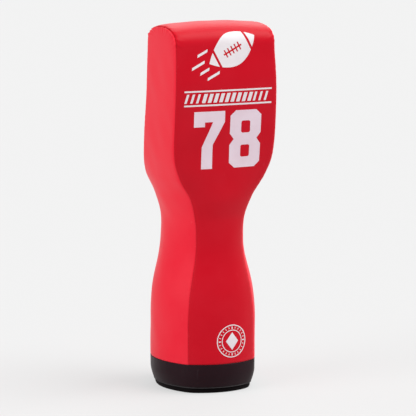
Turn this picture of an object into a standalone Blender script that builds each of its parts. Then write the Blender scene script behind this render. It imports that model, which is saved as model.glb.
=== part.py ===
"""Free-standing tackling dummy: a sewn vinyl cover over a foam core.

The chest is a boxy block with an arched top. Below it the plan rounds off
through a drawn-in waist to a round base that stands in a black boot.
Metres, +Z up, front towards -Y, origin on the floor at the base's centre.
"""
import math

import bmesh
import bpy
from mathutils import Matrix, Vector

# Overall form
HEIGHT = 1.3716
CROWN_RISE = 0.070
CROWN_BULGE = 0.012
CROWN_POWER = 2.4
BOOT_HEIGHT = 0.110
STRAIGHT_LEVEL = 0.250
HIP_LEVEL = 0.360
WAIST_LEVEL = 0.560
FLARE_LEVEL = 0.725
UNDERARM_LEVEL = 0.800
SHOULDER_LEVEL = 0.880

# Half widths between the two long seams of the front
BASE_SEAM = 0.134
WAIST_SEAM = 0.0935
FLARE_SEAM = 0.128
CHEST_SEAM = 0.204

# Reach of the front and the back from the base's centre line
BASE_REACH = 0.208
WAIST_FRONT = 0.177
FLARE_FRONT = 0.196
CHEST_FRONT = 0.216
BACK_LINE_TOP = 0.187
CHEST_BACK = 0.062

# How far the sections between those draw in from the base or the chest
HIP_SEAM_DRAW = 0.006
HIP_FRONT_DRAW = 0.002
UNDERARM_SPREAD = 0.57
UNDERARM_FRONT_DRAW = 0.018
UNDERARM_BACK_STEP = 0.095
SHOULDER_SEAM_DRAW = 0.006
SHOULDER_FRONT_DRAW = 0.015
SHOULDER_BACK_STEP = 0.041
BREAST_BACK_STEP = 0.015
BREAST_SWELL = 0.004
CROWN_SEAM_DRAW = 0.005

# Roundness of the plan: 0 is a box, 1 is a full round
ROUND_BASE = 0.90
ROUND_WAIST = 0.86
ROUND_FLARE = 0.59
ROUND_UNDERARM = 0.32
ROUND_SHOULDER = 0.14
ROUND_CHEST = 0.10
FULL_ROUND_SAGITTA = math.sqrt(2.0) - 1.0

# Soft bottom edge of the boot
EDGE_REACH = 0.026
EDGE_HEIGHT = 0.065
EDGE_POWER = 1.15

# Sheet thicknesses and clearances
COVER = 0.0015
BOOT_WALL = 0.0030
SOLE_WALL = 0.0030
GAP = 0.0003
SKIN_ROOM = 0.0010

# Sole, welt and ballast
SOLE_RIM = 0.0165
WELT_RADIUS = 0.0022
WELT_SEAT = 0.0024
BALLAST_RADIUS = 0.120
BALLAST_THICKNESS = 0.030
BALLAST_ROOM = 0.001
BALLAST_EDGE = 0.002

# Foam core
CORE_BASE_TOP = 0.300
CORE_WAIST_TOP = 0.760
STRIKE_PAD = 0.038
STRIKE_MARGIN = 0.034
STRIKE_RISE = 0.010
STRIKE_OVERRUN = 0.0175

# Zip closure in the back
ZIP_BOTTOM = 0.170
ZIP_LENGTH = 0.504
ZIP_SLOT = 0.0150
ZIP_SLOT_END = 0.004
CHANNEL_MARGIN = 0.0035
CHANNEL_DEPTH = 0.0070
CHANNEL_END = 0.012
TAPE_WIDTH = 0.0110
TAPE = 0.0010
TAPE_SEAT = 0.0005
TOOTH_PITCH = 0.0072
TOOTH_LENGTH = 0.0046
TOOTH_OVERLAP = 0.0009
TOOTH_HEIGHT = 0.0028
TOOTH_ROOT = 0.0016
SLIDER_LENGTH = 0.018
SLIDER_PLATE = 0.0018
SLIDER_FLANGE = 0.0012
SLIDER_EDGE = 0.0006
SLIDER_PARK = 0.002
CROWN_LOOP_WIDTH = 0.0024
CROWN_LOOP_HOLE = 0.0026
CROWN_LOOP_LENGTH = 0.0090
CROWN_LOOP_WALL = 0.0014
CROWN_LOOP_SINK = 0.0014
PULL_LENGTH = 0.034
PULL_WIDTH = 0.0090
PULL_THICKNESS = 0.0016
PULL_EDGE = 0.0004
PULL_BAR = 0.0014
PULL_SIDE_ROOM = 0.0005
PULL_END_ROOM = 0.0016
STOP_WIDTH = 0.0084
STOP_LENGTH = 0.0050
STOP_HEIGHT = 0.0018
STOP_EDGE = 0.0005
STOP_DROP = 0.001
STOP_RISE = 0.004

# Handles on the back of the chest
HANDLE_SPACING = 0.220
HANDLE_SPAN = 0.240
HANDLE_DROP = 0.085
HANDLE_REACH = 0.047
AXIS_LIFT = 0.0105
WEB_WIDTH = 0.020
WEB_THICKNESS = 0.0048
TAB_WIDTH = 0.038
TAB_LENGTH = 0.042
TAB_THICKNESS = 0.0026
PATCH_WIDTH = 0.070
PATCH_LENGTH = 0.072
PATCH = 0.0015
GRIP_DIAMETER = 0.032
GRIP_LENGTH = 0.112
GRIP_EDGE = 0.004
GRIP_CLEARANCE = 0.0004
BOW_RUN_OUT = 0.006
BOW_STEPS = 5
PATCH_OVERHANG = 0.002
TAB_FOOT = 0.030
TAB_BEND = 0.018
TAB_RISE = 0.009
WEB_LIP = 0.0015

# Breather vents
VENT_BORE = 0.0080
VENT_BARREL = 0.0008
VENT_FLANGE = 0.0190
VENT_SHEET = 0.0008
VENT_TAIL = 0.0022
VENT_ROOM = 0.0015
VENT_HIGH_DROP = 0.048
VENT_HIGH_SHARE = 0.2857
VENT_LOW_LEVEL = 0.140
VENT_LOW_SHARE = 0.5714

# Facets
ROWS = 20
ROW_ROOM = 0.004
COLUMNS = 7
ARCH_STEPS = 10
TURN_STEPS = 16
DISC_STEPS = 32
SMOOTH_ANGLE = math.radians(35.0)

CROWN_START = HEIGHT - CROWN_RISE - CROWN_BULGE


def reset_scene():
    for obj in list(bpy.data.objects):
        bpy.data.objects.remove(obj, do_unlink=True)


def make_collection(name):
    collection = bpy.data.collections.new(name)
    bpy.context.scene.collection.children.link(collection)
    return collection


def make_material(name, color, roughness, metallic=0.0):
    material = bpy.data.materials.new(name)
    material.use_nodes = True
    shader = material.node_tree.nodes["Principled BSDF"]
    shader.inputs["Base Color"].default_value = (*color, 1.0)
    shader.inputs["Roughness"].default_value = roughness
    shader.inputs["Metallic"].default_value = metallic
    return material


# Profile of the body

def chest_level(share):
    """A level between the shoulder and the start of the crown."""
    return SHOULDER_LEVEL + share * (CROWN_START - SHOULDER_LEVEL)


def back_line(z):
    """The straight line down the middle of the back, from the boot to the flare."""
    share = (z - BOOT_HEIGHT) / (FLARE_LEVEL - BOOT_HEIGHT)
    return BASE_REACH + share * (BACK_LINE_TOP - BASE_REACH)


def stations():
    """Level, seam half width, front reach, back reach and roundness."""
    underarm_seam = FLARE_SEAM + UNDERARM_SPREAD * (CHEST_SEAM - FLARE_SEAM)
    return (
        (BOOT_HEIGHT, BASE_SEAM, BASE_REACH, back_line(BOOT_HEIGHT), ROUND_BASE),
        (STRAIGHT_LEVEL, BASE_SEAM, BASE_REACH, back_line(STRAIGHT_LEVEL), ROUND_BASE),
        (HIP_LEVEL, BASE_SEAM - HIP_SEAM_DRAW, BASE_REACH - HIP_FRONT_DRAW,
         back_line(HIP_LEVEL), ROUND_BASE),
        (WAIST_LEVEL, WAIST_SEAM, WAIST_FRONT, back_line(WAIST_LEVEL), ROUND_WAIST),
        (FLARE_LEVEL, FLARE_SEAM, FLARE_FRONT, BACK_LINE_TOP, ROUND_FLARE),
        (UNDERARM_LEVEL, underarm_seam, CHEST_FRONT - UNDERARM_FRONT_DRAW,
         CHEST_BACK + UNDERARM_BACK_STEP, ROUND_UNDERARM),
        (SHOULDER_LEVEL, CHEST_SEAM - SHOULDER_SEAM_DRAW, CHEST_FRONT - SHOULDER_FRONT_DRAW,
         CHEST_BACK + SHOULDER_BACK_STEP, ROUND_SHOULDER),
        (chest_level(0.30), CHEST_SEAM, CHEST_FRONT - BREAST_SWELL,
         CHEST_BACK + BREAST_BACK_STEP, ROUND_CHEST),
        (chest_level(0.65), CHEST_SEAM, CHEST_FRONT + BREAST_SWELL, CHEST_BACK, ROUND_CHEST),
        (CROWN_START, CHEST_SEAM - CROWN_SEAM_DRAW, CHEST_FRONT - BREAST_SWELL, CHEST_BACK,
         ROUND_CHEST),
    )


def smooth_profile(z):
    """Cubic interpolation through the stations, held flat past both ends."""
    rows = stations()
    if z <= rows[0][0]:
        return rows[0][1:]
    if z >= rows[-1][0]:
        return rows[-1][1:]
    index = max(i for i in range(len(rows) - 1) if rows[i][0] <= z)
    low, high = rows[index], rows[index + 1]
    before = rows[max(index - 1, 0)]
    after = rows[min(index + 2, len(rows) - 1)]
    span = high[0] - low[0]
    t = (z - low[0]) / span
    values = []
    for a, b, c, d in zip(before[1:], low[1:], high[1:], after[1:]):
        start = (c - a) / (high[0] - before[0]) * span
        end = (d - b) / (after[0] - low[0]) * span
        steep = 3.0 * abs(c - b)
        start = max(-steep, min(steep, start)) if (c - b) * start >= 0 else 0.0
        end = max(-steep, min(steep, end)) if (c - b) * end >= 0 else 0.0
        values.append(b * (2 * t**3 - 3 * t**2 + 1) + start * (t**3 - 2 * t**2 + t)
                      + c * (3 * t**2 - 2 * t**3) + end * (t**3 - t**2))
    return tuple(values)


def row_levels():
    """Levels of the facet rows that every panel and foam block shares."""
    step = (CROWN_START - BOOT_HEIGHT) / ROWS
    return [BOOT_HEIGHT + step * i for i in range(ROWS + 1)]


LEVELS = row_levels()
LEVEL_PROFILES = [smooth_profile(z) for z in LEVELS]


def faceted_profile(z):
    """The profile as the facets show it, straight between two shared rows."""
    if z <= LEVELS[0]:
        return LEVEL_PROFILES[0]
    if z >= LEVELS[-1]:
        return LEVEL_PROFILES[-1]
    index = min(int((z - LEVELS[0]) / (LEVELS[1] - LEVELS[0])), ROWS - 1)
    t = (z - LEVELS[index]) / (LEVELS[index + 1] - LEVELS[index])
    pairs = zip(LEVEL_PROFILES[index], LEVEL_PROFILES[index + 1])
    return tuple(a + t * (b - a) for a, b in pairs)


def corners(z, inset=0.0):
    """Seam half width, front seam y, back seam y and the two bulges."""
    seam, front, back, roundness = faceted_profile(z)
    bulge = roundness * FULL_ROUND_SAGITTA * seam
    front_y = -front + bulge
    back_y = back - bulge
    side_bulge = roundness * FULL_ROUND_SAGITTA * (back_y - front_y) / 2.0
    return seam - inset, front_y + inset, back_y - inset, bulge, side_bulge


def column_shares():
    return [-1.0 + 2.0 * i / COLUMNS for i in range(COLUMNS + 1)]


def crown_shares(u):
    """Bulge across a face, flat over the middle column."""
    middle = 1.0 / COLUMNS
    return min(1.0, (1.0 - u * u) / (1.0 - middle * middle))


def facet_bulge(u):
    """The bulge as the facets show it, straight between two columns."""
    place = (max(-1.0, min(1.0, u)) + 1.0) * COLUMNS / 2.0
    index = min(int(place), COLUMNS - 1)
    t = place - index
    low = -1.0 + 2.0 * index / COLUMNS
    high = low + 2.0 / COLUMNS
    return (1.0 - t) * crown_shares(low) + t * crown_shares(high)


def arch_angles():
    return [math.pi * (1.0 - i / ARCH_STEPS) for i in range(ARCH_STEPS + 1)]


def arch_point(angle, inset=0.0):
    """A point of the crown's arch in the side view, as (y, z)."""
    _, front_y, back_y, _, _ = corners(CROWN_START, inset)
    cosine, sine = math.cos(angle), math.sin(angle)
    power = 2.0 / CROWN_POWER
    half_depth = (back_y - front_y) / 2.0
    y = (front_y + back_y) / 2.0 + half_depth * math.copysign(abs(cosine) ** power, cosine)
    z = CROWN_START + (CROWN_RISE - inset) * abs(sine) ** power
    return y, z


def arch_share(angle):
    """How far back a point of the arch lies, from 0 at the front to 1."""
    _, front_y, back_y, _, _ = corners(CROWN_START)
    return (arch_point(angle)[0] - front_y) / (back_y - front_y)


SIDE_SHARES = [arch_share(angle) for angle in arch_angles()]


def face_point(z, u, sign, inset=0.0):
    """A point of the front (sign -1) or the back (sign 1) face."""
    seam, front_y, back_y, bulge, _ = corners(z, inset)
    edge = front_y if sign < 0 else back_y
    return Vector((seam * u, edge + sign * bulge * facet_bulge(u), z))


def side_point(z, share, sign, inset=0.0, trim=0.0):
    """A point of the side at -X (sign -1) or +X (sign 1)."""
    seam, front_y, back_y, _, bulge = corners(z, inset)
    low, high = front_y + trim, back_y - trim
    out = bulge * 4.0 * share * (1.0 - share)
    return Vector((sign * (seam + out), low + share * (high - low), z))


def crown_point(angle, u, inset=0.0):
    """A point of the crown, bulged along the arch's normal."""
    seam, _, _, bulge, _ = corners(CROWN_START, inset)
    y, z = arch_point(angle, inset)
    reach = 0.05
    before = arch_point(min(math.pi, angle + reach), inset)
    after = arch_point(max(0.0, angle - reach), inset)
    along = Vector((after[0] - before[0], after[1] - before[1])).normalized()
    out = (bulge + (CROWN_BULGE - bulge) * math.sin(angle)) * crown_shares(u)
    return Vector((seam * u, y - along.y * out, z + along.x * out))


def edge_inset(z):
    """How far the boot's soft bottom edge draws in at a level."""
    drop = max(0.0, 1.0 - z / EDGE_HEIGHT)
    return EDGE_REACH * (1.0 - (1.0 - drop**EDGE_POWER) ** (1.0 / EDGE_POWER))


def body_ring(z, inset=0.0):
    """The closed plan outline at a level, anticlockwise from the front left seam."""
    shares = column_shares()
    ring = [face_point(z, u, -1, inset) for u in shares[:-1]]
    ring += [side_point(z, s, 1, inset) for s in SIDE_SHARES[:-1]]
    ring += [face_point(z, -u, 1, inset) for u in shares[:-1]]
    ring += [side_point(z, s, -1, inset) for s in reversed(SIDE_SHARES[1:])]
    return ring


# Mesh tools

def mesh_from(name, points, faces):
    mesh = bpy.data.meshes.new(name)
    mesh.from_pydata([tuple(p) for p in points], [], faces)
    return mesh


def place(mesh, name, material, collection, matrix=None):
    mesh.shade_smooth()
    mesh.set_sharp_from_angle(angle=SMOOTH_ANGLE)
    obj = bpy.data.objects.new(name, mesh)
    collection.objects.link(obj)
    if material is not None:
        mesh.materials.append(material)
    if matrix is not None:
        obj.matrix_world = matrix
    return obj


def clean(mesh, outward=True):
    """Weld doubles, drop faces without area and turn the normals outwards."""
    work = bmesh.new()
    work.from_mesh(mesh)
    bmesh.ops.remove_doubles(work, verts=work.verts, dist=1e-6)
    bmesh.ops.dissolve_degenerate(work, edges=work.edges, dist=1e-6)
    if outward:
        bmesh.ops.recalc_face_normals(work, faces=work.faces)
    work.to_mesh(mesh)
    work.free()


def halves(a, b, c, d):
    """A four-sided facet split the same way on every skin and block."""
    return [(a, b, c), (a, c, d)]


def grid_faces(rows, base=0):
    width = len(rows[0])
    faces = []
    for i in range(len(rows) - 1):
        for j in range(width - 1):
            corner = base + i * width + j
            faces += halves(corner, corner + 1, corner + width + 1, corner + width)
    return faces


def grid_mesh(name, rows):
    """An open surface through rows of points."""
    points = [point for row in rows for point in row]
    return mesh_from(name, points, grid_faces(rows))


def facing(rows, sign):
    """Rows of a side in the order that turns its faces outwards."""
    return rows if sign > 0 else [list(reversed(row)) for row in rows]


def loft_rings(name, rings, capped):
    """A skin through closed rings of points, with flat caps where it is a solid."""
    count = len(rings[0])
    points = [point for ring in rings for point in ring]
    faces = []
    for i in range(len(rings) - 1):
        for j in range(count):
            k = (j + 1) % count
            low, high = i * count, (i + 1) * count
            faces += halves(low + j, low + k, high + k, high + j)
    if capped:
        last = (len(rings) - 1) * count
        faces.append(tuple(reversed(range(count))))
        faces.append(tuple(range(last, last + count)))
    return mesh_from(name, points, faces)


def solidify(obj, thickness):
    """Give an open surface its wall, on the inner side."""
    modifier = obj.modifiers.new("Wall", "SOLIDIFY")
    modifier.thickness = thickness
    modifier.offset = -1.0
    modifier.use_even_offset = True
    return modifier


def bevel(obj, width, segments=2):
    modifier = obj.modifiers.new("Edge", "BEVEL")
    modifier.width = width
    modifier.segments = segments
    modifier.limit_method = "ANGLE"
    return modifier


def boolean(obj, cutter, operation="DIFFERENCE"):
    modifier = obj.modifiers.new(operation.title(), "BOOLEAN")
    modifier.operation = operation
    modifier.object = cutter
    modifier.solver = "EXACT"
    return modifier


def make_cutter(mesh, name, collection, matrix=None):
    cutter = place(mesh, name, None, collection, matrix)
    cutter.hide_render = True
    cutter.display_type = "WIRE"
    return cutter


def box_mesh(name, low, high):
    work = bmesh.new()
    bmesh.ops.create_cube(work, size=1.0)
    for vert in work.verts:
        for axis in range(3):
            vert.co[axis] = low[axis] if vert.co[axis] < 0 else high[axis]
    mesh = bpy.data.meshes.new(name)
    work.to_mesh(mesh)
    work.free()
    return mesh


def cylinder_mesh(name, radius, low, high, segments=TURN_STEPS):
    """A capped cylinder on Z between two heights."""
    work = bmesh.new()
    bmesh.ops.create_cone(work, cap_ends=True, segments=segments, radius1=radius,
                          radius2=radius, depth=high - low)
    bmesh.ops.translate(work, vec=(0.0, 0.0, (low + high) / 2.0), verts=work.verts)
    mesh = bpy.data.meshes.new(name)
    work.to_mesh(mesh)
    work.free()
    return mesh


def turned(name, profile, material, collection, matrix):
    """A closed profile at +X, (radius, height), turned about Z."""
    mesh = bpy.data.meshes.new(name)
    points = [(radius, 0.0, height) for radius, height in profile]
    edges = [(i, (i + 1) % len(points)) for i in range(len(points))]
    mesh.from_pydata(points, edges, [])
    obj = place(mesh, name, material, collection, matrix)
    screw = obj.modifiers.new("Turn", "SCREW")
    screw.steps = TURN_STEPS
    screw.render_steps = TURN_STEPS
    screw.use_merge_vertices = True
    screw.merge_threshold = 1e-5
    return obj


def frame_on(origin, outward, up):
    """A placement whose Z runs up, whose Y points outwards."""
    y_axis = outward.normalized()
    x_axis = y_axis.cross(up).normalized()
    z_axis = x_axis.cross(y_axis)
    matrix = Matrix((x_axis, y_axis, z_axis)).transposed().to_4x4()
    matrix.translation = origin
    return matrix


def back_normal(z, x):
    """The outward normal of the back facet at a place."""
    reach = 0.004
    seam = corners(z)[0]
    left = face_point(z, (x - reach) / seam, 1)
    right = face_point(z, (x + reach) / seam, 1)
    low_seam = corners(z - reach)[0]
    high_seam = corners(z + reach)[0]
    low = face_point(z - reach, x / low_seam, 1)
    high = face_point(z + reach, x / high_seam, 1)
    return (high - low).cross(right - left).normalized()


def back_place(z, x):
    """The point of the back at a height and a distance from the middle."""
    return face_point(z, x / corners(z)[0], 1)


# Cover

def build_front_panel(material, parts):
    """One piece of vinyl up the front and over the crown to the back seam."""
    rows = [[face_point(z, u, -1) for u in column_shares()] for z in LEVELS]
    rows[0] = [face_point(BOOT_HEIGHT + GAP, u, -1) for u in column_shares()]
    for angle in arch_angles()[1:]:
        rows.append([crown_point(angle, u) for u in column_shares()])
    mesh = grid_mesh("front_panel", rows)
    panel = place(mesh, "front_panel", material, parts)
    solidify(panel, COVER)


def build_side_panel(name, sign, material, parts):
    """A side of the cover, set in behind the edges of the front and back."""
    trim = COVER + 2.0 * GAP
    rows = []
    for z in [BOOT_HEIGHT + GAP] + LEVELS[1:]:
        rows.append([side_point(z, s, sign, 0.0, trim) for s in SIDE_SHARES])
    seam = corners(CROWN_START)[0]
    for lift in (0.55, 1.0):
        row = []
        for angle, start in zip(arch_angles(), rows[ROWS]):
            y, z = arch_point(angle, trim)
            top = Vector((sign * seam, y, max(z, CROWN_START)))
            row.append(start.lerp(top, lift))
        rows.append(row)
    mesh = grid_mesh(name, facing(rows, sign))
    clean(mesh, outward=False)
    panel = place(mesh, name, material, parts)
    solidify(panel, COVER)


def build_back_panel(material, parts):
    """The back of the cover, from the boot to the seam behind the crown."""
    levels = [BOOT_HEIGHT + GAP] + LEVELS[1:-1] + [CROWN_START - GAP]
    rows = [[face_point(z, -u, 1) for u in column_shares()] for z in levels]
    mesh = grid_mesh("back_panel", rows)
    panel = place(mesh, "back_panel", material, parts)
    solidify(panel, COVER)
    return panel


def boot_ring(z, extra=0.0):
    return body_ring_at(z, BOOT_HEIGHT, edge_inset(z) + extra)


def body_ring_at(z, section_level, inset):
    """The plan outline of one level, moved to another height."""
    return [Vector((p.x, p.y, z)) for p in body_ring(section_level, inset)]


def welt_level():
    """Height of the welt's middle, just above the slanted rim of the sole."""
    return SOLE_RIM + WELT_SEAT + WELT_RADIUS


def build_boot_wall(material, parts):
    bottom = welt_level() + WELT_RADIUS + GAP
    rows = [bottom + share * (EDGE_HEIGHT - bottom) for share in (0.0, 0.34, 0.67, 1.0)]
    rings = [boot_ring(z) for z in rows + [BOOT_HEIGHT]]
    mesh = loft_rings("boot_wall", rings, capped=False)
    wall = place(mesh, "boot_wall", material, parts)
    solidify(wall, BOOT_WALL)


def build_welt(material, parts):
    """The piping sewn into the seam between the boot's wall and its sole."""
    curve = bpy.data.curves.new("boot_welt", "CURVE")
    curve.dimensions = "3D"
    curve.bevel_depth = WELT_RADIUS
    curve.bevel_resolution = 1
    spline = curve.splines.new("POLY")
    ring = boot_ring(welt_level(), WELT_RADIUS / 2.0)
    spline.points.add(len(ring) - 1)
    for point, target in zip(spline.points, ring):
        point.co = (*target, 1.0)
    spline.use_cyclic_u = True
    curve.materials.append(material)
    welt = bpy.data.objects.new("boot_welt", curve)
    parts.objects.link(welt)


def build_sole(material, parts):
    """The moulded tray that the dummy stands on, flat below with a rounded rim."""
    rings = [boot_ring(share * SOLE_RIM) for share in (0.0, 0.21, 0.58, 1.0)]
    mesh = loft_rings("sole", rings, capped=False)
    work = bmesh.new()
    work.from_mesh(mesh)
    work.verts.ensure_lookup_table()
    work.faces.new([work.verts[i] for i in reversed(range(len(rings[0])))])
    work.to_mesh(mesh)
    work.free()
    sole = place(mesh, "sole", material, parts)
    solidify(sole, SOLE_WALL)


# Foam core

def core_inset(z):
    """Inset of the foam from the outer outline: thicker under the boot."""
    return (BOOT_WALL if z <= BOOT_HEIGHT + GAP else COVER) + SKIN_ROOM


def core_rings(low, high):
    """Foam outlines between two levels, with the shared rows between them."""
    rings = [body_ring(low, core_inset(low))]
    levels = [z for z in LEVELS if low + ROW_ROOM < z < high - ROW_ROOM]
    rings += [body_ring(z, core_inset(z)) for z in levels]
    rings.append(body_ring(high, core_inset(high)))
    return rings


def build_core_base(material, parts, cutters):
    """The base block, which fills the boot and holds the ballast below it."""
    foot = SOLE_WALL + 2.0 * GAP
    inset = BOOT_WALL + SKIN_ROOM
    levels = [foot] + [share * EDGE_HEIGHT for share in (0.2, 0.4, 0.68, 1.0)]
    levels.append(BOOT_HEIGHT - ROW_ROOM / 2.0)
    drop = SOLE_WALL + SKIN_ROOM
    rings = [body_ring_at(z, BOOT_HEIGHT, edge_inset(max(0.0, z - drop)) + inset + SKIN_ROOM)
             for z in levels]
    rings += core_rings(BOOT_HEIGHT + ROW_ROOM, CORE_BASE_TOP)
    mesh = loft_rings("core_base_block", rings, capped=True)
    block = place(mesh, "core_base_block", material, parts)
    pocket_top = foot + BALLAST_THICKNESS + 2.0 * GAP
    mesh = cylinder_mesh("ballast_pocket", BALLAST_RADIUS + BALLAST_ROOM, -foot, pocket_top,
                         DISC_STEPS)
    boolean(block, make_cutter(mesh, "ballast_pocket", cutters))
    return block


def build_ballast(material, parts):
    """A dense disc in the bottom of the base block."""
    low = SOLE_WALL + GAP
    mesh = cylinder_mesh("ballast_disc", BALLAST_RADIUS, low, low + BALLAST_THICKNESS,
                         DISC_STEPS)
    disc = place(mesh, "ballast_disc", material, parts)
    bevel(disc, BALLAST_EDGE, 1)


def build_core_waist(material, parts):
    rings = core_rings(CORE_BASE_TOP + GAP, CORE_WAIST_TOP)
    mesh = loft_rings("core_waist_block", rings, capped=True)
    return place(mesh, "core_waist_block", material, parts)


def chest_solid(name, inset):
    """A closed chest block with its arched top, from the waist block up."""
    low = CORE_WAIST_TOP + GAP
    levels = [low] + [z for z in LEVELS if z > low + ROW_ROOM]
    points = []
    faces = []

    def add(rows):
        faces.extend(grid_faces(rows, len(points)))
        points.extend(point for row in rows for point in row)

    strip = [[face_point(z, u, -1, inset) for u in column_shares()] for z in levels]
    strip += [[crown_point(a, u, inset) for u in column_shares()] for a in arch_angles()[1:]]
    strip += [[face_point(z, u, 1, inset) for u in column_shares()]
              for z in reversed(levels[:-1])]
    add(strip)
    for sign in (-1, 1):
        rows = [[side_point(z, s, sign, inset) for s in SIDE_SHARES] for z in levels]
        seam = corners(CROWN_START, inset)[0]
        rows.append([Vector((sign * seam, *arch_point(a, inset))) for a in arch_angles()])
        add(facing(rows, sign))
    base = len(points)
    points.extend(body_ring(low, inset))
    faces.append(tuple(reversed(range(base, len(points)))))
    mesh = mesh_from(name, points, faces)
    clean(mesh)
    return mesh


def build_core_chest(material, pad_material, parts, cutters):
    """The chest block and the softer pad let into its front."""
    inset = COVER + SKIN_ROOM
    block = place(chest_solid("core_chest_block", inset), "core_chest_block", material, parts)
    pad = place(chest_solid("strike_pad", inset), "strike_pad", pad_material, parts)
    seam, front_y, _, bulge, _ = corners(CROWN_START, inset)
    low = SHOULDER_LEVEL + STRIKE_RISE
    high = CROWN_START + STRIKE_OVERRUN
    face = front_y + STRIKE_PAD
    half = seam - STRIKE_MARGIN
    front = front_y - bulge - 2.0 * STRIKE_PAD
    room = make_cutter(box_mesh("pad_room", (-half, front, low), (half, face, high)),
                       "pad_room", cutters)
    boolean(block, room)
    keep = make_cutter(box_mesh("pad_keep", (-half + GAP, front, low + GAP),
                                (half - GAP, face - GAP, high - GAP)), "pad_keep", cutters)
    boolean(pad, keep, "INTERSECT")
    return block


# Zip closure

def zip_frame():
    """Placement on the back's middle line: Z up along it, Y outwards."""
    low = Vector((0.0, back_line(ZIP_BOTTOM), ZIP_BOTTOM))
    high_level = ZIP_BOTTOM + ZIP_LENGTH
    high = Vector((0.0, back_line(high_level), high_level))
    along = (high - low).normalized()
    outward = Vector((1.0, 0.0, 0.0)).cross(along) * -1.0
    return frame_on(low, outward, along)


def zip_run():
    return TOOTH_PITCH * int((ZIP_LENGTH - SLIDER_LENGTH) / TOOTH_PITCH)


def build_zip_slot(panel, blocks, cutters):
    """The slot in the back panel and the channel in the foam behind it."""
    matrix = zip_frame()
    half = ZIP_SLOT / 2.0
    end = ZIP_SLOT_END
    deep = 3.0 * COVER
    slot = box_mesh("zip_slot", (-half, -deep, -end), (half, deep, ZIP_LENGTH + end))
    boolean(panel, make_cutter(slot, "zip_slot", cutters, matrix))
    reach = TAPE_WIDTH + CHANNEL_MARGIN
    end = ZIP_SLOT_END + CHANNEL_END
    channel = box_mesh("zip_channel", (-reach, -CHANNEL_DEPTH, -end),
                       (reach, 3.0 * CHANNEL_DEPTH, ZIP_LENGTH + end))
    cutter = make_cutter(channel, "zip_channel", cutters, matrix)
    for block in blocks:
        boolean(block, cutter)


def tape_levels():
    """Inner and outer face of the tape, measured outwards from the back."""
    top = -COVER - TAPE_SEAT
    return top - TAPE, top


def build_tape(name, sign, material, parts, cutters):
    """A woven tape with its row of teeth along the inner edge."""
    matrix = zip_frame()
    low, high = tape_levels()
    tape_edge = TOOTH_LENGTH - TOOTH_OVERLAP - TOOTH_ROOT
    x_low, x_high = sorted((sign * tape_edge, sign * (tape_edge + TAPE_WIDTH)))
    mesh = box_mesh(name, (x_low, low, 0.0), (x_high, high, ZIP_LENGTH))
    tape = place(mesh, name, material, parts, matrix)
    middle = (low + high) / 2.0
    thick = TOOTH_PITCH / 2.0 - 2.0 * GAP
    first = TOOTH_PITCH if sign > 0 else 1.5 * TOOTH_PITCH
    count = int((zip_run() - first) / TOOTH_PITCH)
    work = bmesh.new()
    for i in range(count):
        z = first + i * TOOTH_PITCH
        x_low, x_high = sorted((-sign * TOOTH_OVERLAP, sign * (TOOTH_LENGTH - TOOTH_OVERLAP)))
        made = bmesh.ops.create_cube(work, size=1.0)
        scale = (x_high - x_low, TOOTH_HEIGHT, thick)
        bmesh.ops.scale(work, vec=scale, verts=made["verts"])
        centre = ((x_low + x_high) / 2.0, middle, z)
        bmesh.ops.translate(work, vec=centre, verts=made["verts"])
    mesh = bpy.data.meshes.new(name + "_teeth")
    work.to_mesh(mesh)
    work.free()
    teeth = make_cutter(mesh, name + "_teeth", cutters, matrix)
    boolean(tape, teeth, "UNION")


def slider_place():
    """Height of the slider's lower end above the zip's bottom, when closed."""
    return zip_run() - SLIDER_LENGTH - SLIDER_PARK


def slider_levels():
    """Underside and top of the slider's plate above the back's surface."""
    low, high = tape_levels()
    under = (low + high) / 2.0 + TOOTH_HEIGHT / 2.0 + GAP
    return under, under + SLIDER_PLATE


def slider_axis():
    """Where the pull hangs on the slider: height along the zip, and outwards."""
    _, top = slider_levels()
    return slider_place() + SLIDER_LENGTH / 2.0, top + CROWN_LOOP_HOLE / 2.0 + GAP


def build_slider(material, parts, cutters):
    """The slider's plate with its side flanges and its crown loop."""
    matrix = zip_frame()
    under, top = slider_levels()
    foot = slider_place()
    half = TOOTH_LENGTH - TOOTH_OVERLAP + GAP + SLIDER_FLANGE
    slider = place(box_mesh("zip_slider", (-half, tape_levels()[1] + GAP, foot),
                            (half, top, foot + SLIDER_LENGTH)), "zip_slider", material,
                   parts, matrix)
    bevel(slider, SLIDER_EDGE, 1)
    inner = half - SLIDER_FLANGE
    groove = box_mesh("slider_groove", (-inner, -CHANNEL_DEPTH, foot - SLIDER_LENGTH),
                      (inner, under, foot + 2.0 * SLIDER_LENGTH))
    boolean(slider, make_cutter(groove, "slider_groove", cutters, matrix))

    axis_z, axis_y = slider_axis()
    loop_half = CROWN_LOOP_LENGTH / 2.0
    rise = axis_y + CROWN_LOOP_HOLE / 2.0 + CROWN_LOOP_WALL
    low = top - CROWN_LOOP_SINK
    loop = box_mesh("crown_loop", (-CROWN_LOOP_WIDTH / 2.0, low, axis_z - loop_half),
                    (CROWN_LOOP_WIDTH / 2.0, rise, axis_z + loop_half))
    boolean(slider, make_cutter(loop, "crown_loop", cutters, matrix), "UNION")
    hole_matrix = matrix @ Matrix.Translation((0.0, axis_y, axis_z))
    hole_matrix = hole_matrix @ Matrix.Rotation(math.radians(90.0), 4, "Y")
    hole = cylinder_mesh("crown_hole", CROWN_LOOP_HOLE / 2.0, -half, half)
    boolean(slider, make_cutter(hole, "crown_hole", cutters, hole_matrix))


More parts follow.
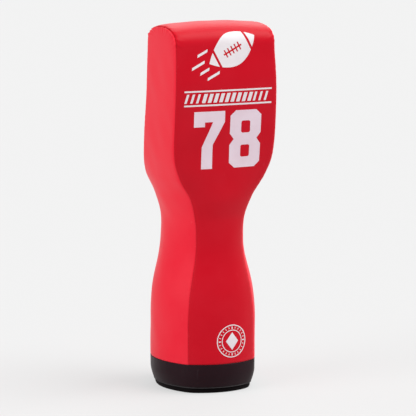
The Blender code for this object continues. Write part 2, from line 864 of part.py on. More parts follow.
def build_pull(material, parts, cutters):
    """The pull, whose bar lies in the slider's crown loop."""
    axis_z, axis_y = slider_axis()
    matrix = zip_frame() @ Matrix.Translation((0.0, axis_y, axis_z))
    half = PULL_THICKNESS / 2.0
    mesh = box_mesh("zip_pull", (-PULL_WIDTH / 2.0, -half, -PULL_LENGTH),
                    (PULL_WIDTH / 2.0, half, half))
    pull = place(mesh, "zip_pull", material, parts, matrix)
    bevel(pull, PULL_EDGE, 1)
    eye_half = CROWN_LOOP_WIDTH / 2.0 + PULL_SIDE_ROOM
    eye_end = -CROWN_LOOP_LENGTH / 2.0 - PULL_END_ROOM
    eye = box_mesh("pull_eye", (-eye_half, -PULL_WIDTH, eye_end),
                   (eye_half, PULL_WIDTH, PULL_WIDTH))
    boolean(pull, make_cutter(eye, "pull_eye", cutters, matrix))
    reach = PULL_WIDTH / 2.0 - PULL_EDGE
    bar = cylinder_mesh("pull_bar", PULL_BAR / 2.0, -reach, reach)
    turned_bar = matrix @ Matrix.Rotation(math.radians(90.0), 4, "Y")
    boolean(pull, make_cutter(bar, "pull_bar", cutters, turned_bar), "UNION")


def build_stop(name, z, material, parts):
    """A small metal stop pressed over the ends of both tapes."""
    low = tape_levels()[1] + GAP
    half = STOP_WIDTH / 2.0
    mesh = box_mesh(name, (-half, low, z), (half, low + STOP_HEIGHT, z + STOP_LENGTH))
    stop = place(mesh, name, material, parts, zip_frame())
    bevel(stop, STOP_EDGE, 1)


# Handles

def handle_ends():
    """Heights of the two sewn ends of a handle's loop."""
    high = CROWN_START - HANDLE_DROP
    return high - HANDLE_SPAN, high


def handle_frame(sign):
    """Placement at the middle of the line that the loop swings about."""
    x = sign * HANDLE_SPACING / 2.0
    low_level, high_level = handle_ends()
    low = back_place(low_level, x)
    high = back_place(high_level, x)
    along = (high - low).normalized()
    outward = Vector((1.0, 0.0, 0.0)).cross(along) * -1.0
    middle = (low + high) / 2.0 + outward * AXIS_LIFT
    return frame_on(middle, outward, along), (high - low).length / 2.0


def build_loop(name, half, material, parts, matrix):
    """The webbing of a handle, as a flat strap along its bowed line."""
    side = WEB_WIDTH / 2.0
    rows = [[Vector((-side, out, up)), Vector((side, out, up))] for out, up in bow_path(half)]
    loop = place(grid_mesh(name, rows), name, material, parts, matrix)
    wall = solidify(loop, WEB_THICKNESS)
    wall.offset = 0.0


def bow_path(half):
    """The loop's line from its lower to its upper end, straight at either end."""
    rise = HANDLE_REACH - AXIS_LIFT
    flat = GRIP_LENGTH / 2.0 + BOW_RUN_OUT
    start = half - GAP - WEB_LIP
    path = [(0.0, GAP - half)]
    for i in range(BOW_STEPS + 1):
        t = i / BOW_STEPS
        ease = t * t * (3.0 - 2.0 * t)
        path.append((rise * ease, t * (start - flat) - start))
    return path + [(out, -up) for out, up in reversed(path)]


def back_row(z, x, width, lift, columns=4):
    """Points across the back at one level, lifted off its surface."""
    outward = back_normal(z, x)
    row = []
    for i in range(columns + 1):
        column = x + width / 2.0 - width * i / columns
        row.append(back_place(z, column) + outward * lift)
    return row


def patch_rows(x, low, high):
    """The patch under a sewn end, laid on the back's surface."""
    levels = [low + (high - low) * i / 3.0 for i in range(4)]
    return [back_row(z, x, PATCH_WIDTH, PATCH + GAP) for z in levels]


def tab_rows(x, end, up, matrix, half):
    """A sewn end: flat on its patch, then up to the line the loop swings on.

    Its last stretch runs along that line, so that the loop's end turns against it freely.
    """
    seat = PATCH + 3.0 * GAP + TAB_THICKNESS
    rows = [back_row(end + up * reach, x, TAB_WIDTH, seat, 2)
            for reach in (TAB_LENGTH, TAB_FOOT, TAB_BEND)]
    narrow = WEB_WIDTH / TAB_WIDTH
    for reach, lift, width in ((TAB_RISE, 0.45, 0.75), (GAP + WEB_LIP, 1.0, narrow),
                               (GAP, 1.0, narrow)):
        out = (1.0 - lift) * (seat - AXIS_LIFT) + lift * TAB_THICKNESS / 2.0
        half_width = TAB_WIDTH * width / 2.0
        points = [(side * half_width, out, up * (half + reach)) for side in (1.0, 0.0, -1.0)]
        rows.append([matrix @ Vector(point) for point in points])
    return rows if up < 0 else list(reversed(rows))


def build_sewn_end(name, x, end, up, frame, materials, parts):
    """The patch and the sewn tab at one end of a handle."""
    matrix, half = frame
    centre = end + up * (TAB_LENGTH / 2.0 - PATCH_OVERHANG)
    rows = patch_rows(x, centre - PATCH_LENGTH / 2.0, centre + PATCH_LENGTH / 2.0)
    mesh = grid_mesh(name + "_patch", rows)
    patch = place(mesh, name + "_patch", materials["patch"], parts)
    solidify(patch, PATCH)
    mesh = grid_mesh(name + "_tab", tab_rows(x, end, up, matrix, half))
    tab = place(mesh, name + "_tab", materials["webbing"], parts)
    solidify(tab, TAB_THICKNESS)


def build_grip(name, material, parts, cutters, matrix):
    """The padded grip on the middle of a loop, set off from the line it swings about."""
    rise = HANDLE_REACH - AXIS_LIFT
    end = GRIP_LENGTH / 2.0
    mesh = cylinder_mesh(name, GRIP_DIAMETER / 2.0, -end, end)
    mesh.transform(Matrix.Translation((0.0, rise, 0.0)))
    grip = place(mesh, name, material, parts, matrix)
    bevel(grip, GRIP_EDGE, 2)
    side = WEB_WIDTH / 2.0 + GRIP_CLEARANCE
    deep = WEB_THICKNESS / 2.0 + GRIP_CLEARANCE
    slot = box_mesh(name + "_slot", (-side, rise - deep, -GRIP_LENGTH),
                    (side, rise + deep, GRIP_LENGTH))
    boolean(grip, make_cutter(slot, name + "_slot", cutters, matrix))


def build_handle(side, sign, materials, parts, cutters):
    """Two patches, two sewn tabs, the loop of webbing and its grip."""
    matrix, half = handle_frame(sign)
    x = sign * HANDLE_SPACING / 2.0
    for word, end, up in zip(("lower", "upper"), handle_ends(), (-1.0, 1.0)):
        name = "handle_%s_%s" % (side, word)
        build_sewn_end(name, x, end, up, (matrix, half), materials, parts)
    build_loop("handle_%s_loop" % side, half, materials["webbing"], parts, matrix)
    build_grip("handle_%s_grip" % side, materials["grip"], parts, cutters, matrix)


# Vents

def vent_places():
    """Heights and distances from the middle of the four breather vents."""
    high = CROWN_START - VENT_HIGH_DROP
    places = []
    for z, share in ((high, VENT_HIGH_SHARE), (VENT_LOW_LEVEL, VENT_LOW_SHARE)):
        for sign in (-1.0, 1.0):
            places.append((z, sign * share * corners(z)[0]))
    return places


def vent_frame(z, x):
    """Placement on the back whose Z points outwards."""
    normal = back_normal(z, x)
    x_axis = Vector((0.0, 0.0, 1.0)).cross(normal).normalized()
    y_axis = normal.cross(x_axis)
    matrix = Matrix((x_axis, y_axis, normal)).transposed().to_4x4()
    matrix.translation = back_place(z, x)
    return matrix


def build_vent(number, matrix, material, parts, panel, block, cutters):
    """A rolled eyelet through the back panel, and the washer behind it."""
    bore = VENT_BORE / 2.0
    barrel = bore + VENT_BARREL
    flange = VENT_FLANGE / 2.0
    seat = 2.0 * GAP
    depth = COVER + VENT_SHEET + VENT_TAIL
    eyelet = [
        (bore, seat + 2.0 * VENT_SHEET), (barrel + VENT_SHEET, seat + 2.2 * VENT_SHEET),
        (flange - 2.0 * VENT_SHEET, seat + 1.6 * VENT_SHEET), (flange, seat + 0.3 * VENT_SHEET),
        (flange, seat), (barrel, seat), (barrel, -depth), (bore, -depth),
    ]
    turned("vent_eyelet_%d" % number, eyelet, material, parts, matrix)
    hole = cylinder_mesh("vent_hole_%d" % number, barrel + GAP, -flange, flange)
    boolean(panel, make_cutter(hole, "vent_hole_%d" % number, cutters, matrix))
    top = -COVER - 2.0 * GAP
    washer = [
        (barrel + GAP, top), (flange, top), (flange, top - VENT_SHEET),
        (barrel + GAP, top - VENT_SHEET),
    ]
    turned("vent_washer_%d" % number, washer, material, parts, matrix)
    room = cylinder_mesh("vent_room_%d" % number, flange + VENT_ROOM, -depth - VENT_ROOM,
                         flange)
    boolean(block, make_cutter(room, "vent_room_%d" % number, cutters, matrix))


def build():
    reset_scene()
    parts = make_collection("tackling_dummy")
    cutters = make_collection("cutters")
    front_vinyl = make_material("front_vinyl", (0.558, 0.004, 0.018), 0.38)
    side_vinyl = make_material("side_vinyl", (0.880, 0.045, 0.065), 0.38)
    boot_vinyl = make_material("boot_vinyl", (0.018, 0.010, 0.012), 0.45)
    sole_rubber = make_material("sole_rubber", (0.012, 0.009, 0.010), 0.65)
    foam = make_material("core_foam", (0.62, 0.62, 0.60), 0.95)
    soft_foam = make_material("pad_foam", (0.80, 0.74, 0.42), 0.95)
    ballast = make_material("ballast_rubber", (0.03, 0.03, 0.03), 0.85)
    webbing = make_material("webbing", (0.015, 0.014, 0.016), 0.80)
    grip_vinyl = make_material("grip_vinyl", (0.020, 0.018, 0.020), 0.55)
    tape_cloth = make_material("zip_tape_cloth", (0.020, 0.018, 0.020), 0.85)
    zinc = make_material("zinc", (0.55, 0.55, 0.56), 0.35, 1.0)
    brass = make_material("brass", (0.66, 0.48, 0.20), 0.35, 1.0)

    build_front_panel(front_vinyl, parts)
    build_side_panel("side_panel_left", -1, side_vinyl, parts)
    build_side_panel("side_panel_right", 1, side_vinyl, parts)
    back = build_back_panel(front_vinyl, parts)
    build_boot_wall(boot_vinyl, parts)
    build_welt(boot_vinyl, parts)
    build_sole(sole_rubber, parts)

    base_block = build_core_base(foam, parts, cutters)
    build_ballast(ballast, parts)
    waist_block = build_core_waist(foam, parts)
    chest_block = build_core_chest(foam, soft_foam, parts, cutters)

    build_zip_slot(back, (base_block, waist_block), cutters)
    build_tape("zip_tape_left", -1, tape_cloth, parts, cutters)
    build_tape("zip_tape_right", 1, tape_cloth, parts, cutters)
    build_slider(zinc, parts, cutters)
    build_pull(zinc, parts, cutters)
    build_stop("zip_bottom_stop", -STOP_DROP, zinc, parts)
    build_stop("zip_top_stop", zip_run() + STOP_RISE, zinc, parts)

    handle_materials = {"patch": grip_vinyl, "webbing": webbing, "grip": grip_vinyl}
    build_handle("left", -1.0, handle_materials, parts, cutters)
    build_handle("right", 1.0, handle_materials, parts, cutters)

    for number, (z, x) in enumerate(vent_places(), start=1):
        block = chest_block if z > CORE_WAIST_TOP else base_block
        build_vent(number, vent_frame(z, x), brass, parts, back, block, cutters)


build()
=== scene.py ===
"""Looks of a free-standing tackling dummy: a sewn vinyl cover, stuffed tight with foam.

Metres, +Z up, front towards -Y. The cover's panels are modelled as sheets that are pulled
over the foam, with sewn seams where they meet.
"""
import math

import bmesh
import bpy
import numpy as np
from mathutils import Matrix, Vector


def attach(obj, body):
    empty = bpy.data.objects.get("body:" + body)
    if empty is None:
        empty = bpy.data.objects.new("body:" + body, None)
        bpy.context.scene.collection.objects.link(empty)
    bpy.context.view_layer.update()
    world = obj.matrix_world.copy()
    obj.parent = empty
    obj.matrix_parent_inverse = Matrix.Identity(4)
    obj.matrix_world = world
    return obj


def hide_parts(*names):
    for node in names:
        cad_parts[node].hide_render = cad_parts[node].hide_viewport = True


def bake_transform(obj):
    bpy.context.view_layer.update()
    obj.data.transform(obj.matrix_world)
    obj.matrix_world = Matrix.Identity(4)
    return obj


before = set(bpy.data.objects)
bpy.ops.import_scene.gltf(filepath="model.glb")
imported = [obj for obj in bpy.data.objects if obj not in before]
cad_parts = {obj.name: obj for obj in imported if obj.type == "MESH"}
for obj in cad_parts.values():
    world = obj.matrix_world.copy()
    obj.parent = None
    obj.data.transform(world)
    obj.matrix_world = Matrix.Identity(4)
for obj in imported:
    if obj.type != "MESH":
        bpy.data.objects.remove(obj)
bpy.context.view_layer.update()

# Body sections: level, seam half width, front reach, back reach, roundness, fullness of the sides
SECTIONS = np.array([
    (0.110, 0.1350, 0.2090, 0.2080, 0.78, 1.00),
    (0.250, 0.1350, 0.2085, 0.2032, 0.78, 1.04),
    (0.360, 0.1265, 0.2040, 0.1995, 0.80, 1.14),
    (0.560, 0.0947, 0.1835, 0.1926, 0.86, 0.88),
    (0.640, 0.0995, 0.1838, 0.1899, 0.76, 0.80),
    (0.725, 0.1260, 0.1975, 0.1870, 0.59, 1.00),
    (0.800, 0.1730, 0.2005, 0.1570, 0.32, 1.00),
    (0.880, 0.2015, 0.2030, 0.1030, 0.14, 1.00),
    (1.0029, 0.2070, 0.2150, 0.0770, 0.10, 1.00),
    (1.1462, 0.2055, 0.2240, 0.0620, 0.10, 1.00),
    (1.2896, 0.2008, 0.2135, 0.0620, 0.10, 1.00),
])
FULL_ROUND = math.sqrt(2.0) - 1.0
CROWN_RISE = 0.070
CROWN_BULGE = 0.012
CROWN_POWER = 2.4
CROWN_HALF_DEPTH = 0.138

BOOT_TOP = SECTIONS[0, 0]
CROWN_START = SECTIONS[-1, 0]
ROW_STEP = 0.004
SHEET = 0.0015
BOOT_SHEET = 0.003

# Soft bottom edge of the boot, and the places for its welt and sole
BOOT_BOTTOM = 0.0236
EDGE_REACH = 0.026
EDGE_HEIGHT = 0.068
EDGE_POWER = 1.4
WELT_LEVEL = 0.0211
WELT_RADIUS = 0.0024
WELT_INSET = 0.0016
SOLE_RIM = 0.0180

# Sewn seams: plain ones, and the fuller ones round the crown
FILLET = 0.017
SEAM_WIDTH = (0.0030, 0.0056)
SEAM_DEPTH = (0.0014, 0.0036)
PUCKER = (0.00036, 0.0016)
PUCKER_REACH = (0.016, 0.024)
END_DEPTH = 0.0024

# The seam allowance that lies folded under the sides: rise, distance from the seam, width
ALLOWANCE = (0.0003, 0.0024)
ALLOWANCE_PLACE = 0.0052
ALLOWANCE_WIDTH = 0.0028

# Slow unevenness of the stuffing: under the band, under the sides, and where it fades in
BAND_UNEVEN = 0.0007
SIDE_UNEVEN = 0.0009
UNEVEN_FROM = 0.03

# Distances of a sheet's first points from its seam
NEAR = np.array([0, 0.5, 1.0, 1.6, 2.4, 3.4, 4.6, 6, 8, 10.5, 13.5, 17, 21.5, 27]) * 0.001


# Small tools

def select_only(*objects):
    bpy.ops.object.select_all(action="DESELECT")
    for obj in objects:
        obj.select_set(True)
    bpy.context.view_layer.objects.active = objects[0]


def primitive(name, add, **settings):
    """Add a primitive, with nothing else selected, and name it."""
    bpy.ops.object.select_all(action="DESELECT")
    add(**settings)
    obj = bpy.context.object
    obj.name = name
    obj.data.name = name
    return obj


def put_in_scene(name, data):
    obj = bpy.data.objects.new(name, data)
    bpy.context.scene.collection.objects.link(obj)
    return obj


def modify(obj, kind, **settings):
    """Add a modifier with these settings and apply it."""
    modifier = obj.modifiers.new(kind.title(), kind)
    for key, value in settings.items():
        setattr(modifier, key, value)
    select_only(obj)
    bpy.ops.object.modifier_apply(modifier=modifier.name)


def thicken(obj, thickness, offset=-1.0):
    modify(obj, "SOLIDIFY", thickness=thickness, offset=offset, use_even_offset=False)


def smooth(obj, degrees=60.0):
    select_only(obj)
    bpy.ops.object.shade_smooth_by_angle(angle=math.radians(degrees))


def settle(obj, matrix):
    """Move an object by a matrix and put its place into its mesh."""
    obj.matrix_world = matrix
    select_only(obj)
    bpy.ops.object.transform_apply(location=True, rotation=True, scale=True)
    return obj


def paint(obj, material):
    """Give a piece its one material."""
    obj.data.materials.clear()
    obj.data.materials.append(material)


def points_of(obj):
    return np.array([v.co for v in obj.data.vertices])


def move_points(obj, points):
    obj.data.vertices.foreach_set("co", points.astype(np.float32).ravel())
    obj.data.update()


def set_attribute(obj, name, values):
    attribute = obj.data.attributes.new(name, "FLOAT", "POINT")
    attribute.data.foreach_set("value", values.astype(np.float32).ravel())


def hand_over(obj, stands_for=None, body="dummy"):
    """Put a piece on the body that it rides on, and hide the CAD node that it stands for."""
    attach(obj, body)
    if stands_for:
        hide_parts(stands_for)


def edit(obj, *steps):
    """Run steps in edit mode, each with the whole mesh selected at its start."""
    select_only(obj)
    bpy.ops.object.mode_set(mode="EDIT")
    for step in steps:
        bpy.ops.mesh.select_all(action="SELECT")
        step()
    bpy.ops.object.mode_set(mode="OBJECT")


def weld(reach=1e-5):
    bpy.ops.mesh.remove_doubles(threshold=reach)


def fill_ends():
    bpy.ops.mesh.fill_holes(sides=0)


def face_out():
    bpy.ops.mesh.normals_make_consistent(inside=False)


def draw_rim(rise, spread):
    """Extrude the selected rim upwards and resize it about the Z axis."""
    bpy.ops.mesh.extrude_edges_move(TRANSFORM_OT_translate={"value": (0.0, 0.0, rise)})
    bpy.ops.transform.resize(value=(*spread, 1.0), center_override=(0.0, 0.0, 0.0))


def closed(rows, axis=0):
    """Rows, or columns, with the first one again at their end."""
    return np.concatenate([rows, np.take(rows, [0], axis)], axis)


def grid_piece(name, points, material, attributes=None):
    """A grid primitive whose points are moved to rows of places, with values stored on them."""
    rows, columns = points.shape[:2]
    obj = primitive(name, bpy.ops.mesh.primitive_grid_add, x_subdivisions=columns - 1,
                    y_subdivisions=rows - 1, size=1.0)
    assert len(obj.data.vertices) == rows * columns
    move_points(obj, points)
    paint(obj, material)
    for key, values in (attributes or {}).items():
        set_attribute(obj, key, np.broadcast_to(values, (rows, columns)))
    return obj


def ring_piece(name, rings, material, attributes=None, capped=True):
    """A loft through closed rings of points; its ends are filled."""
    shape = np.shape(rings)[:2]
    stored = {key: closed(np.broadcast_to(values, shape), 1)
              for key, values in (attributes or {}).items()}
    obj = grid_piece(name, closed(rings, 1), material, stored)
    edit(obj, weld, *([fill_ends, face_out] if capped else [face_out]))
    return obj


def scatter(name, pattern, places):
    """Many copies of a small piece, as one mesh; the pattern itself is removed."""
    points = points_of(pattern)
    faces = [list(p.vertices) for p in pattern.data.polygons]
    moved, copied = [], []
    for number, place in enumerate(places):
        matrix = np.array(place)
        moved.append(points @ matrix[:3, :3].T + matrix[:3, 3])
        copied.extend([[i + number * len(points) for i in face] for face in faces])
    mesh = bpy.data.meshes.new(name)
    mesh.from_pydata(np.concatenate(moved).tolist(), [], copied)
    mesh.materials.append(pattern.data.materials[0])
    obj = put_in_scene(name, mesh)
    bpy.data.objects.remove(pattern)
    smooth(obj, 50.0)
    return obj


def frame_of(place, along, out):
    """Matrix at a place: Y along a run, Z outwards."""
    along = np.array(along, float)
    along = along / np.linalg.norm(along)
    side = np.cross(along, np.array(out, float))
    side /= np.linalg.norm(side)
    matrix = Matrix.Identity(4)
    for column, vector in enumerate((side, along, np.cross(side, along), place)):
        for row in range(3):
            matrix[row][column] = float(vector[row])
    return matrix


def unit(vectors):
    return vectors / np.maximum(np.linalg.norm(vectors, axis=-1, keepdims=True), 1e-12)


def run_of(points):
    """Distance along a line to each of its points."""
    return np.concatenate([[0.0], np.cumsum(np.linalg.norm(np.diff(points, axis=0), axis=1))])


def turns(count):
    """Even angles round a circle."""
    return np.arange(count) / count * 2.0 * math.pi


def bent(values, power):
    """Values from -1 to 1 to a power, with their signs kept."""
    return np.sign(values) * np.abs(values) ** power


def bell(values, width):
    """1 where values are 0, falling to 0 on both sides."""
    return np.exp(-(values / width) ** 2)


def fading(distance, width):
    """1 at a seam, falling to 0 at a distance from it, ever slower."""
    return np.maximum(1.0 - distance / width, 0.0) ** 2


def smoothstep(values):
    t = np.clip(values, 0.0, 1.0)
    return t * t * (3.0 - 2.0 * t)


def between(pair, share):
    return pair[0] + (pair[1] - pair[0]) * share


def waves(places, lengths, seed):
    """A smooth random wave, from -1 to 1 or so, along places in metres."""
    rng = np.random.default_rng(seed)
    total = np.zeros(np.shape(places))
    for length in lengths:
        phase, stretch = rng.uniform(0.0, 2.0 * math.pi), rng.uniform(0.85, 1.15)
        total = total + np.sin(2.0 * math.pi * places / (length * stretch) + phase)
    return total / math.sqrt(len(lengths))


def swell(x, s, seed):
    """Slow unevenness of stuffed foam over a panel, from -1 to 1 or so."""
    rng = np.random.default_rng(seed)
    total = 0.0
    for _ in range(6):
        turn, phase = rng.uniform(0.0, 2.0 * math.pi, 2)
        length = rng.uniform(0.09, 0.22)
        along = x * math.cos(turn) + s * math.sin(turn)
        total = total + np.sin(2.0 * math.pi * along / length + phase)
    return total / 3.5


# Form of the body

def tangents(values):
    """Slope of a smooth line through the section values, with no overshoot."""
    level = SECTIONS[:, 0]
    chord = np.diff(values) / np.diff(level)
    before, after = chord[:-1], chord[1:]
    limit = 3.0 * np.minimum(np.abs(before), np.abs(after))
    mean = (values[2:] - values[:-2]) / (level[2:] - level[:-2])
    inner = np.where(before * after > 0, np.clip(mean, -limit, limit), 0.0)
    return np.concatenate([[0.0], inner, [chord[-1]]])


def profile(z):
    """Seam half width, front reach, back reach, roundness and side fullness at levels."""
    z = np.clip(np.asarray(z, float), SECTIONS[0, 0], SECTIONS[-1, 0])
    level = SECTIONS[:, 0]
    index = np.clip(np.searchsorted(level, z, side="right") - 1, 0, len(level) - 2)
    span = level[index + 1] - level[index]
    t = (z - level[index]) / span
    values = []
    for column in SECTIONS[:, 1:].T:
        slope = tangents(column)
        start, end = slope[index] * span, slope[index + 1] * span
        values.append(column[index] * (2 * t**3 - 3 * t**2 + 1) + start * (t**3 - 2 * t**2 + t)
                      + column[index + 1] * (3 * t**2 - 2 * t**3) + end * (t**3 - t**2))
    return values


def edges_at(z):
    """Seam half width, front seam y, back seam y, and the bulges of face and side."""
    seam, front, back, roundness, fullness = profile(z)
    bulge = roundness * FULL_ROUND * seam
    front_y = -front + bulge
    back_y = back - bulge
    side = fullness * roundness * FULL_ROUND * (back_y - front_y) / 2.0
    return seam, front_y, back_y, bulge, side


def arch(step):
    """The crown's arch from front to back: places (y, z) a step apart, and share across."""
    _, front_y, back_y, _, _ = edges_at(CROWN_START)
    angle = np.linspace(math.pi, 0.0, 721)
    power = 2.0 / CROWN_POWER
    cosine, sine = np.cos(angle), np.sin(angle)
    y = (front_y + back_y) / 2.0 + (back_y - front_y) / 2.0 * bent(cosine, power)
    z = CROWN_START + CROWN_RISE * np.abs(sine) ** power
    run = np.concatenate([[0.0], np.cumsum(np.hypot(np.diff(y), np.diff(z)))])
    places = np.linspace(0.0, run[-1], int(run[-1] / step) + 1)
    return (np.interp(places, run, y), np.interp(places, run, z), np.interp(places, run, sine))


def blur(values, steps):
    """Smooth rows of values along the rows."""
    reach = 3 * steps
    kernel = np.exp(-0.5 * (np.arange(-reach, reach + 1) / steps) ** 2)
    kernel /= kernel.sum()
    flat = values.reshape(len(values), -1)
    low = 2 * flat[:1] - flat[reach:0:-1]
    high = 2 * flat[-1:] - flat[-2:-reach - 2:-1]
    padded = np.concatenate([low, flat, high])
    made = [np.convolve(padded[:, i], kernel, mode="valid") for i in range(flat.shape[1])]
    return np.stack(made, -1).reshape(values.shape)


class Strip:
    """The band up the front, over the crown and down the back, and its two long seams.

    Each row has its seam half width, its edge in the side view, the way that it bulges
    and how far. The seams' frames give the way into the corner between band and side.
    """

    def __init__(self, step):
        count = int((CROWN_START - BOOT_TOP) / step)
        z = np.linspace(BOOT_TOP + 0.0003, CROWN_START, count + 1)
        seam, front_y, back_y, bulge, side = edges_at(z)
        arch_y, arch_z, sine = arch(step)
        along = unit(np.stack([np.gradient(arch_y), np.gradient(arch_z)], -1))
        crown_bulge = bulge[-1] + (CROWN_BULGE - bulge[-1]) * sine
        out = np.stack([-along[:, 1], along[:, 0]], -1)
        inner = slice(1, -1)
        self.half = np.concatenate([seam, np.full(len(sine) - 2, seam[-1]), seam[::-1]])
        edge_y = np.concatenate([front_y, arch_y[inner], back_y[::-1]])
        edge_z = np.concatenate([z, arch_z[inner], z[::-1]])
        self.edge = np.stack([edge_y, edge_z], -1)
        front_out = np.tile([-1.0, 0.0], (len(z), 1))
        self.out = np.concatenate([front_out, out[inner], -front_out])
        self.bulge = np.concatenate([bulge, crown_bulge[inner], bulge[::-1]])
        self.side = np.concatenate([side, np.full(len(sine) - 2, side[-1]), side[::-1]])
        self.front_rows = count + 1
        self.back_start = count + len(sine) - 1
        crown = slice(self.front_rows - 12, self.back_start + 12)
        for values in (self.edge, self.out, self.bulge, self.half):
            values[crown] = blur(values, 3)[crown]
        self.out = unit(self.out)
        self.run = run_of(self.edge)
        self.set_corners()

    def set_corners(self):
        """The seam's way into the corner, and how sharp the corner is, at each row."""
        band = unit(np.stack([-self.half, 2 * self.bulge * self.out[:, 0],
                              2 * self.bulge * self.out[:, 1]], -1))
        depth = np.abs(self.middle(self.edge)[:, 0] - self.edge[:, 0])
        rise = np.maximum(self.edge[:, 1] - CROWN_START, 0.0)
        arched = np.hypot(depth / CROWN_HALF_DEPTH**2, rise / CROWN_RISE**2)
        slope = np.where(rise > 0, arched, 1.0 / np.maximum(depth, 0.02))
        side = unit(np.stack([2.0 * self.side * slope, -self.out[:, 0], -self.out[:, 1]], -1))
        self.into = unit(band + side)
        self.sharp = np.sum(band * self.into, -1)

    def middle(self, edge):
        """The place on the side's middle line that a row's side runs to, as (y, z)."""
        z = np.minimum(edge[:, 1], CROWN_START)
        _, front_y, back_y, _, _ = edges_at(z)
        return np.stack([(front_y + back_y) / 2.0, z], -1)


strip = Strip(ROW_STEP)


def distances(reach, steps):
    """Distances from a seam: close together near it, then even up to its reach."""
    far = np.linspace(0.0, 1.0, steps + 1)[1:]
    near = np.tile(NEAR, (len(reach), 1))
    return np.concatenate([near, NEAR[-1] + (reach[:, None] - NEAR[-1]) * far], 1)


def crown_share(rows):
    """0 along the plain seams, 1 round the crown, where the seam is fuller."""
    start = strip.run[strip.front_rows - 1]
    end = strip.run[strip.back_start]
    run = strip.run[rows, None]
    return smoothstep((run - start + 0.03) / 0.05) * smoothstep((end + 0.01 - run) / 0.05)


def seam_shift(distance, rows, sign, allowance=(0.0, 0.0)):
    """How a sheet moves beside its seam: round the corner, then down into the stitches."""
    crown = crown_share(rows)
    rounding = fading(distance, FILLET) * FILLET * strip.sharp[rows, None] / 2.0
    groove = fading(distance, between(SEAM_WIDTH, crown)) * between(SEAM_DEPTH, crown)
    run = strip.run[rows, None]
    seed = 11 if sign > 0 else 23
    strength = 0.6 + 0.4 * waves(run, (0.31, 0.17), seed + 1)
    slanted = run + 0.5 * distance
    pucker = waves(slanted, (0.019, 0.027, 0.041), seed) * strength * between(PUCKER, crown)
    pucker = pucker * np.exp(-(distance / between(PUCKER_REACH, crown)) ** 1.5)
    raised = between(allowance, crown) * bell(distance - ALLOWANCE_PLACE, ALLOWANCE_WIDTH)
    return rounding + groove - pucker - raised


def end_shift(distance):
    """How a sheet dips into a seam across its end."""
    return fading(distance, SEAM_WIDTH[0]) * END_DEPTH


def grid_normals(points):
    along = np.gradient(points, axis=0)
    across = np.gradient(points, axis=1)
    return unit(np.cross(across, along))


def band_base(rows, share):
    """Places of the band before the seams draw it in, at shares of the half width."""
    lift = strip.bulge[rows, None] * (1.0 - share**2)
    x = strip.half[rows, None] * share
    y = strip.edge[rows, None, 0] + strip.out[rows, None, 0] * lift
    z = strip.edge[rows, None, 1] + strip.out[rows, None, 1] * lift
    return np.stack([x, y, z], -1)


def band_shares(rows, steps, middle=()):
    """Shares of the half width, left seam to right, with set distances from the middle."""
    half = strip.half[rows]
    reach = half - (middle[0] if middle else 0.0)
    beside = distances(reach, steps)
    if middle:
        beside = np.concatenate([beside, half[:, None] - np.array(middle[1:] + (0.0,))], 1)
    share = 1.0 - beside / half[:, None]
    return np.concatenate([-share, share[:, -2::-1]], 1)


def band_points(rows, share):
    """Places of the band's sheet, its normals and each point's distance from its seam."""
    points = band_base(rows, share)
    normals = grid_normals(points)
    distance = (1.0 - np.abs(share)) * strip.half[rows, None]
    run = strip.run[rows, None]
    uneven = swell(points[..., 0], run, 5) * BAND_UNEVEN * smoothstep(distance / UNEVEN_FROM)
    points += normals * uneven[..., None]
    for sign in (-1.0, 1.0):
        into = strip.into[rows, None, :] * np.array([sign, 1.0, 1.0])
        shift = np.where(np.sign(share) == sign, seam_shift(distance, rows, sign), 0.0)
        points += into * shift[..., None]
    return points, normals, distance


class Surface:
    """The band's outer surface, to lay pieces on: x across, run along from the front's foot."""

    def __init__(self):
        rows = np.arange(len(strip.half))
        self.points, self.normals, _ = band_points(rows, band_shares(rows, 26))

    def row(self, index, x):
        across = self.points[index, :, 0]
        inner = slice(len(NEAR), -len(NEAR))
        place = [np.interp(x, across[inner], self.points[index, inner, k]) for k in (1, 2)]
        normal = [np.interp(x, across[inner], self.normals[index, inner, k]) for k in range(3)]
        return np.stack([x, *place], -1), np.stack(normal, -1)

    def at(self, x, run, lift=0.0):
        """Places and normals at distances x from the middle and run along the band."""
        x, run = (np.asarray(v, float) for v in np.broadcast_arrays(x, run))
        shape, x, run = x.shape, x.ravel(), run.ravel()
        index = np.clip(np.searchsorted(strip.run, run, side="right") - 1, 0, len(strip.run) - 2)
        share = (run - strip.run[index]) / (strip.run[index + 1] - strip.run[index])
        place, normal = np.empty((len(x), 3)), np.empty((len(x), 3))
        for row in np.unique(index):
            here = index == row
            low, low_normal = self.row(row, x[here])
            high, high_normal = self.row(row + 1, x[here])
            t = share[here, None]
            place[here] = low + (high - low) * t
            normal[here] = low_normal + (high_normal - low_normal) * t
        normal = unit(normal)
        return (place + normal * lift).reshape(shape + (3,)), normal.reshape(shape + (3,))

    def back_run(self, z):
        """How far along the band the back reaches a level."""
        rows = slice(strip.back_start + 5, None)
        return np.interp(-np.asarray(z, float), -strip.edge[rows, 1], strip.run[rows])


surface = Surface()


# Points round the boot, its girth, and rounds of smoothing for the body and the boot's foot
BOOT_POINTS = 300
BOOT_GIRTH = 1.25
BODY_ROUNDS = 24
SOFT_ROUNDS = 260
ROUNDED_FROM = 0.075


def edge_inset(z):
    """How far the boot's soft bottom edge draws in at a level."""
    depth = np.maximum(0.0, 1.0 - z / EDGE_HEIGHT)
    return EDGE_REACH * (1.0 - (1.0 - depth**EDGE_POWER) ** (1.0 / EDGE_POWER))


